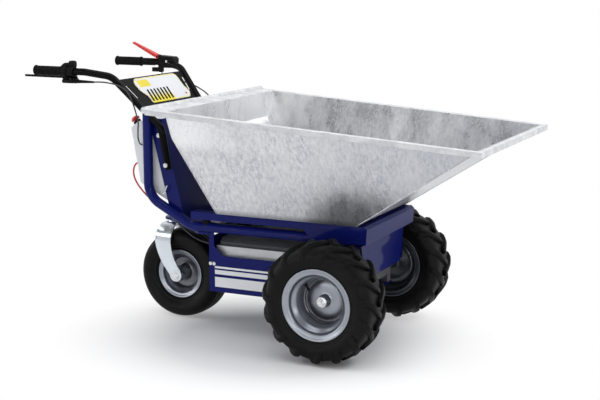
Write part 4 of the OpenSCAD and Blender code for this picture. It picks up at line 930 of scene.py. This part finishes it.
# One lug is drawn out from the middle of the tread over the shoulder, swept back, and copied round. Each
# station is millimetres out from the middle, its foot and its top from the axle, and degrees of sweep.
lugs = 15
lug_top = 17.0
lug_foot = 25.0
lug_edge = 0.0022
lug_start = radians(6)
station_gap = 0.0002
lug_stations = [
    (-5, 187.5, 203.0, -8.2), (16, 187.3, 203.0, -3.8), (39, 186.6, 202.0, 1.4), (55, 182.0, 197.2, 5.4),
    (67, 173.0, 187.6, 8.8), (74.0, 161.0, 173.5, 11.2), (74.8, 150.5, 158.5, 12.2)]
out, low, high, sweep = lug_stations[0]
lug = drawn_line("lug", [right_hub + Vector((-lug_top / 2000, -out / 1000, high / 1000))])
for across, up in ((lug_top, 0), ((lug_foot - lug_top) / 2, low - high), (-lug_foot, 0)):
    bpy.ops.mesh.extrude_vertices_move(TRANSFORM_OT_translate={"value": (across / 1000, 0, up / 1000)})
all_points()
bpy.ops.mesh.edge_face_add()
for here, there in zip(lug_stations, lug_stations[1:]):
    rise = there[1] + there[2] - here[1] - here[2]
    bpy.ops.mesh.extrude_region_move(
        TRANSFORM_OT_translate={"value": (0, (here[0] - there[0]) / 1000, rise / 2000)})
    heart = right_hub + Vector((0, -there[0] / 1000, (there[1] + there[2]) / 2000))
    growth = (there[2] - there[1]) / (here[2] - here[1])
    bpy.ops.transform.resize(value=(1, 1, growth), center_override=heart)
for out, low, high, sweep in lug_stations:
    choose(lug, lambda spot: abs(spot.y - right_hub.y + out / 1000) < station_gap)
    bpy.ops.transform.rotate(value=radians(sweep), orient_axis="Y", center_override=right_hub)
face_out()
ease(lug, lug_edge)
edit_all()
bpy.ops.transform.rotate(value=lug_start, orient_axis="Y", center_override=right_hub)
bpy.ops.mesh.spin(steps=lugs - 1, dupli=True, angle=2 * pi * (lugs - 1) / lugs, center=right_hub,
                  axis=(0, 1, 0))
all_points()
bpy.ops.mesh.duplicate()
bpy.ops.transform.resize(value=(1, -1, 1), center_override=right_hub)
bpy.ops.transform.rotate(value=pi / lugs, orient_axis="Y", center_override=right_hub)
face_out()
smooth(30)
fit_pair(join(carcass, lug), "drive_tyre", "tyre_rubber", tyre_black, "tyre")

# Drive rims. Pressed steel wheels painted silver: a rolled flange, a stepped barrel with a deep well,
# and a domed disc with its hub, joined to the barrel by a weld all round. Painted shade darkens the inboard
# side, and the deep dish of the caster.
painted_rim_shade = (0.10, 0.105, 0.115)
rim_silver = new_finish("rim_silver", 0.30, metallic=0.88)
across = work_out(rim_silver, "ABSOLUTE", axes(rim_silver)["Y"])
# Painted shade on the inboard faces of the drive rims, and in the deep dish of the caster
inboard_shade = product(rim_silver, between(rim_silver, across, 1.0, 0.0, 0.3015, 0.3050),
                  between(rim_silver, across, 0.0, 1.0, 0.15, 0.20))
caster_dish_shade = between(rim_silver, across, 0.85, 0.0, 0.006, 0.034)
rim_shade_share = work_out(rim_silver, "MAXIMUM", inboard_shade, caster_dish_shade)
clean = blend_of(rim_silver, grain(rim_silver, 26, 5.0), (0.27, 0.29, 0.33), (0.35, 0.37, 0.41))
paint(rim_silver, rim_shade_share, clean, painted_rim_shade)
dull(rim_silver, 90, 0.26, 0.38)
skin(rim_silver, 260, 2.0, 0.00002, 0.6)
barrel_inside = [
    (64.5, 120.6), (65.7, 119.2), (65.4, 115.5), (63.2, 111.2), (61.5, 107), (61.6, 104), (60.4, 100.6),
    (57.0, 98.0), (51.5, 96.9), (47.0, 95.6), (43.6, 92.6), (39.5, 87.6), (35.0, 83.0), (29.0, 79.6),
    (21.0, 78.6), (0, 78.5)]
barrel_outside = [
    (0, 82), (22, 82.1), (28, 83.3), (33, 86.4), (37.8, 91.2), (41.6, 96.0), (46.0, 98.9), (52.0, 100.0),
    (56.0, 101.2), (57.6, 104), (58.0, 107.5), (59.4, 112), (61.6, 116.5), (62.2, 119.6)]
disc_section = [
    (13.9, 12.6), (13.9, 16.2), (13.2, 17.0), (-6, 17.2), (-12.0, 18.6), (-14.2, 22.5), (-15.0, 32),
    (-16.2, 44), (-18.2, 54), (-21.2, 62), (-22.8, 67), (-22.6, 71.5), (-21.0, 74.6), (-18.4, 75.6),
    (-15.8, 76.6), (-14.6, 79.4), (-24.5, 80), (-26.2, 72), (-26.2, 64), (-22.6, 54), (-20.6, 44),
    (-19.6, 30), (-20.0, 19), (-24, 17), (-43.9, 17), (-43.9, 12.6)]
barrel = turned("right_drive_rim", shell(barrel_inside, barrel_outside), right_hub, 48, 1)
disc = turned("disc", disc_section, right_hub, 48, 1)
fit_pair(join(barrel, disc), "drive_rim", "rim_paint", rim_silver, "rim")

# Valves. Rubber tyre valves with a screwed cap, pulled through the well of each drive rim and leaning
# out so that a pump reaches them.
valve_turn = radians(136)
valve_out = 0.018
valve_root = 0.0785
valve_tip = Vector((0, -0.42, 0))
outwards = Vector((cos(valve_turn), 0, sin(valve_turn)))
valve_lean = (valve_tip - outwards).normalized()
valve_side = valve_lean.cross(Vector((0, 1, 0))).normalized()
valve_seat = right_hub + outwards * valve_root + Vector((0, -valve_out, 0))
valve_section = [(-1, 0), (-1, 6.4), (1.6, 6.0), (4, 4.8), (13, 3.7), (13.4, 2.8), (15, 2.8), (15.2, 4.2),
                 (25, 4.0), (26.4, 3.0), (26.4, 0)]
right_valve = turned("right_valve", valve_section, valve_seat, 16, along=valve_lean, up=valve_side)
fit_pair(right_valve, "valve", "tyre_rubber", tyre_black)

# Caster wheel. A ribbed pneumatic tyre on a pressed steel rim in the same silver paint, with a long hub
# that holds a ball bearing at each end.
caster_hub = Vector((-0.357, 0, 0.1625))
tread_outside = [
    (38.5, 80), (42.4, 90), (44.6, 94), (47.2, 97.4), (50.4, 98.8), (51.0, 101), (50.4, 103.2),
    (54.6, 110), (59.0, 119), (61.4, 128), (61.4, 137), (59.0, 146), (54.0, 152.6), (49.0, 156.4),
    (45.4, 158.0), (44.6, 155.6), (41.4, 156.4), (40.6, 159.6), (32, 161.2), (22.4, 162.0),
    (21.6, 158.8), (18.4, 158.9), (17.6, 162.3), (9, 162.5), (2.2, 162.5), (1.5, 159.2), (0, 159.2)]
tread_inside = [(0, 152), (34, 150.5), (51, 139), (53, 126), (45, 106), (36, 90), (34, 80)]
caster_inside = [
    (45.8, 90.4), (46.9, 89.2), (46.6, 86), (44.6, 82.4), (43.2, 79), (42.8, 76), (41.2, 73.4),
    (36, 72.2), (30.5, 70.4), (25.5, 66.4), (20.5, 61.6), (14, 58.8), (0, 58.5)]
caster_outside = [
    (0, 62), (14, 62.2), (19, 64.2), (23, 68.4), (28, 73.4), (33, 75.4), (38.6, 76.4), (39.8, 79.4),
    (41.0, 83.4), (42.8, 87), (43.6, 89.6)]
half_disc = [
    (59.9, 21.2), (59.9, 25.0), (59.0, 26.0), (10, 26.2), (6.4, 28.4), (4.4, 34), (4.2, 43), (5.8, 50.5),
    (6.6, 54.5), (5.0, 57.4), (4.2, 59.4)]
caster_tread = turned("caster_ribbed_tyre", shell(tread_outside, tread_inside), caster_hub, 64, 1)
fit(caster_tread, "caster_wheel", "tyre_rubber", tyre_black, "caster_tyre")
caster_barrel = turned("caster_pressed_rim", shell(caster_inside, caster_outside), caster_hub, 48, 1)
caster_disc = turned("caster_disc", both_ways(half_disc), caster_hub, 48, 1)
fit(join(caster_barrel, caster_disc), "caster_wheel", "rim_paint", rim_silver, "caster_rim")

# Caster fork. One thick strip of zinc-plated steel, cut to a swan-necked outline and pressed over the
# wheel, with a turned race on its crown that swivels on the kingpin. Each place along the strip is
# millimetres out from the middle, up from the ground, and its rear and front edges.
fork_thick = 0.008
fork_edge = 0.0012
swivel = Vector((-0.407, 0, 0.350))
fork_bend = [
    (0, 350, -428, -370), (-30, 350, -428, -370), (-44, 348.5, -429, -371), (-55, 343, -431, -372),
    (-64, 333.5, -434, -373), (-71.5, 320, -438, -375), (-76, 304, -441, -376.5), (-78, 285, -442, -376.5),
    (-78, 262, -437.5, -374), (-78, 240, -430, -369), (-78, 218, -420, -360.5), (-78, 196, -407, -348.5),
    (-78, 180, -395, -338.5), (-78, 170, -387, -334.2), (-78, 162.5, -381.6, -333),
    (-78, 155, -379.8, -334.2), (-78, 148, -376.1, -337.9), (-78, 142.5, -370.3, -343.7),
    (-78, 139.4, -363.5, -350.5)]
side, up, rear, front = fork_bend[0]
fork = drawn_line("caster_swan_fork", [Vector((edge, side, up)) / 1000 for edge in (rear, front)])
all_points()
for here, there in zip(fork_bend, fork_bend[1:]):
    before = Vector(((here[2] + here[3]) / 2, here[0], here[1])) / 1000
    after = Vector(((there[2] + there[3]) / 2, there[0], there[1])) / 1000
    growth = (there[3] - there[2]) / (here[3] - here[2])
    bpy.ops.mesh.extrude_edges_move(TRANSFORM_OT_translate={"value": after - before})
    bpy.ops.transform.resize(value=(growth, 1, 1), center_override=after)
all_points()
bpy.ops.mesh.duplicate()
bpy.ops.transform.resize(value=(1, -1, 1), center_override=(0, 0, 0))
all_points()
bpy.ops.mesh.remove_doubles(threshold=merge_gap)
face_out()
crown_face = max(fork.data.polygons, key=lambda face: face.center.z)
if crown_face.normal.z < 0:
    bpy.ops.object.mode_set(mode="EDIT")
    bpy.ops.mesh.flip_normals()
    bpy.ops.object.mode_set(mode="OBJECT")
plate_wall = fork.modifiers.new("plate_wall", "SOLIDIFY")
plate_wall.thickness = fork_thick
plate_wall.offset = -1
plate_wall.use_even_offset = True
bpy.ops.object.modifier_apply(modifier=plate_wall.name)
ease(fork, fork_edge)
smooth(35)
race_section = [(-0.2, 10.4), (-0.2, 20), (5.6, 20), (6.7, 19), (6.7, 10.4)]
race = turned("race", race_section, swivel, 32, along=(0, 0, 1), up=(1, 0, 0))
fork_zinc = new_finish("fork_zinc", 0.3, metallic=0.85)
tint(fork_zinc, 9, (0.60, 0.66, 0.72), (0.74, 0.79, 0.83), 2.0)
dull(fork_zinc, 9, 0.20, 0.27, 1.0)
skin(fork_zinc, 240, 2.0, 0.00002, 0.6)
fit(join(fork, race), "caster_swivel", "zinc_plate", fork_zinc, "caster_fork")
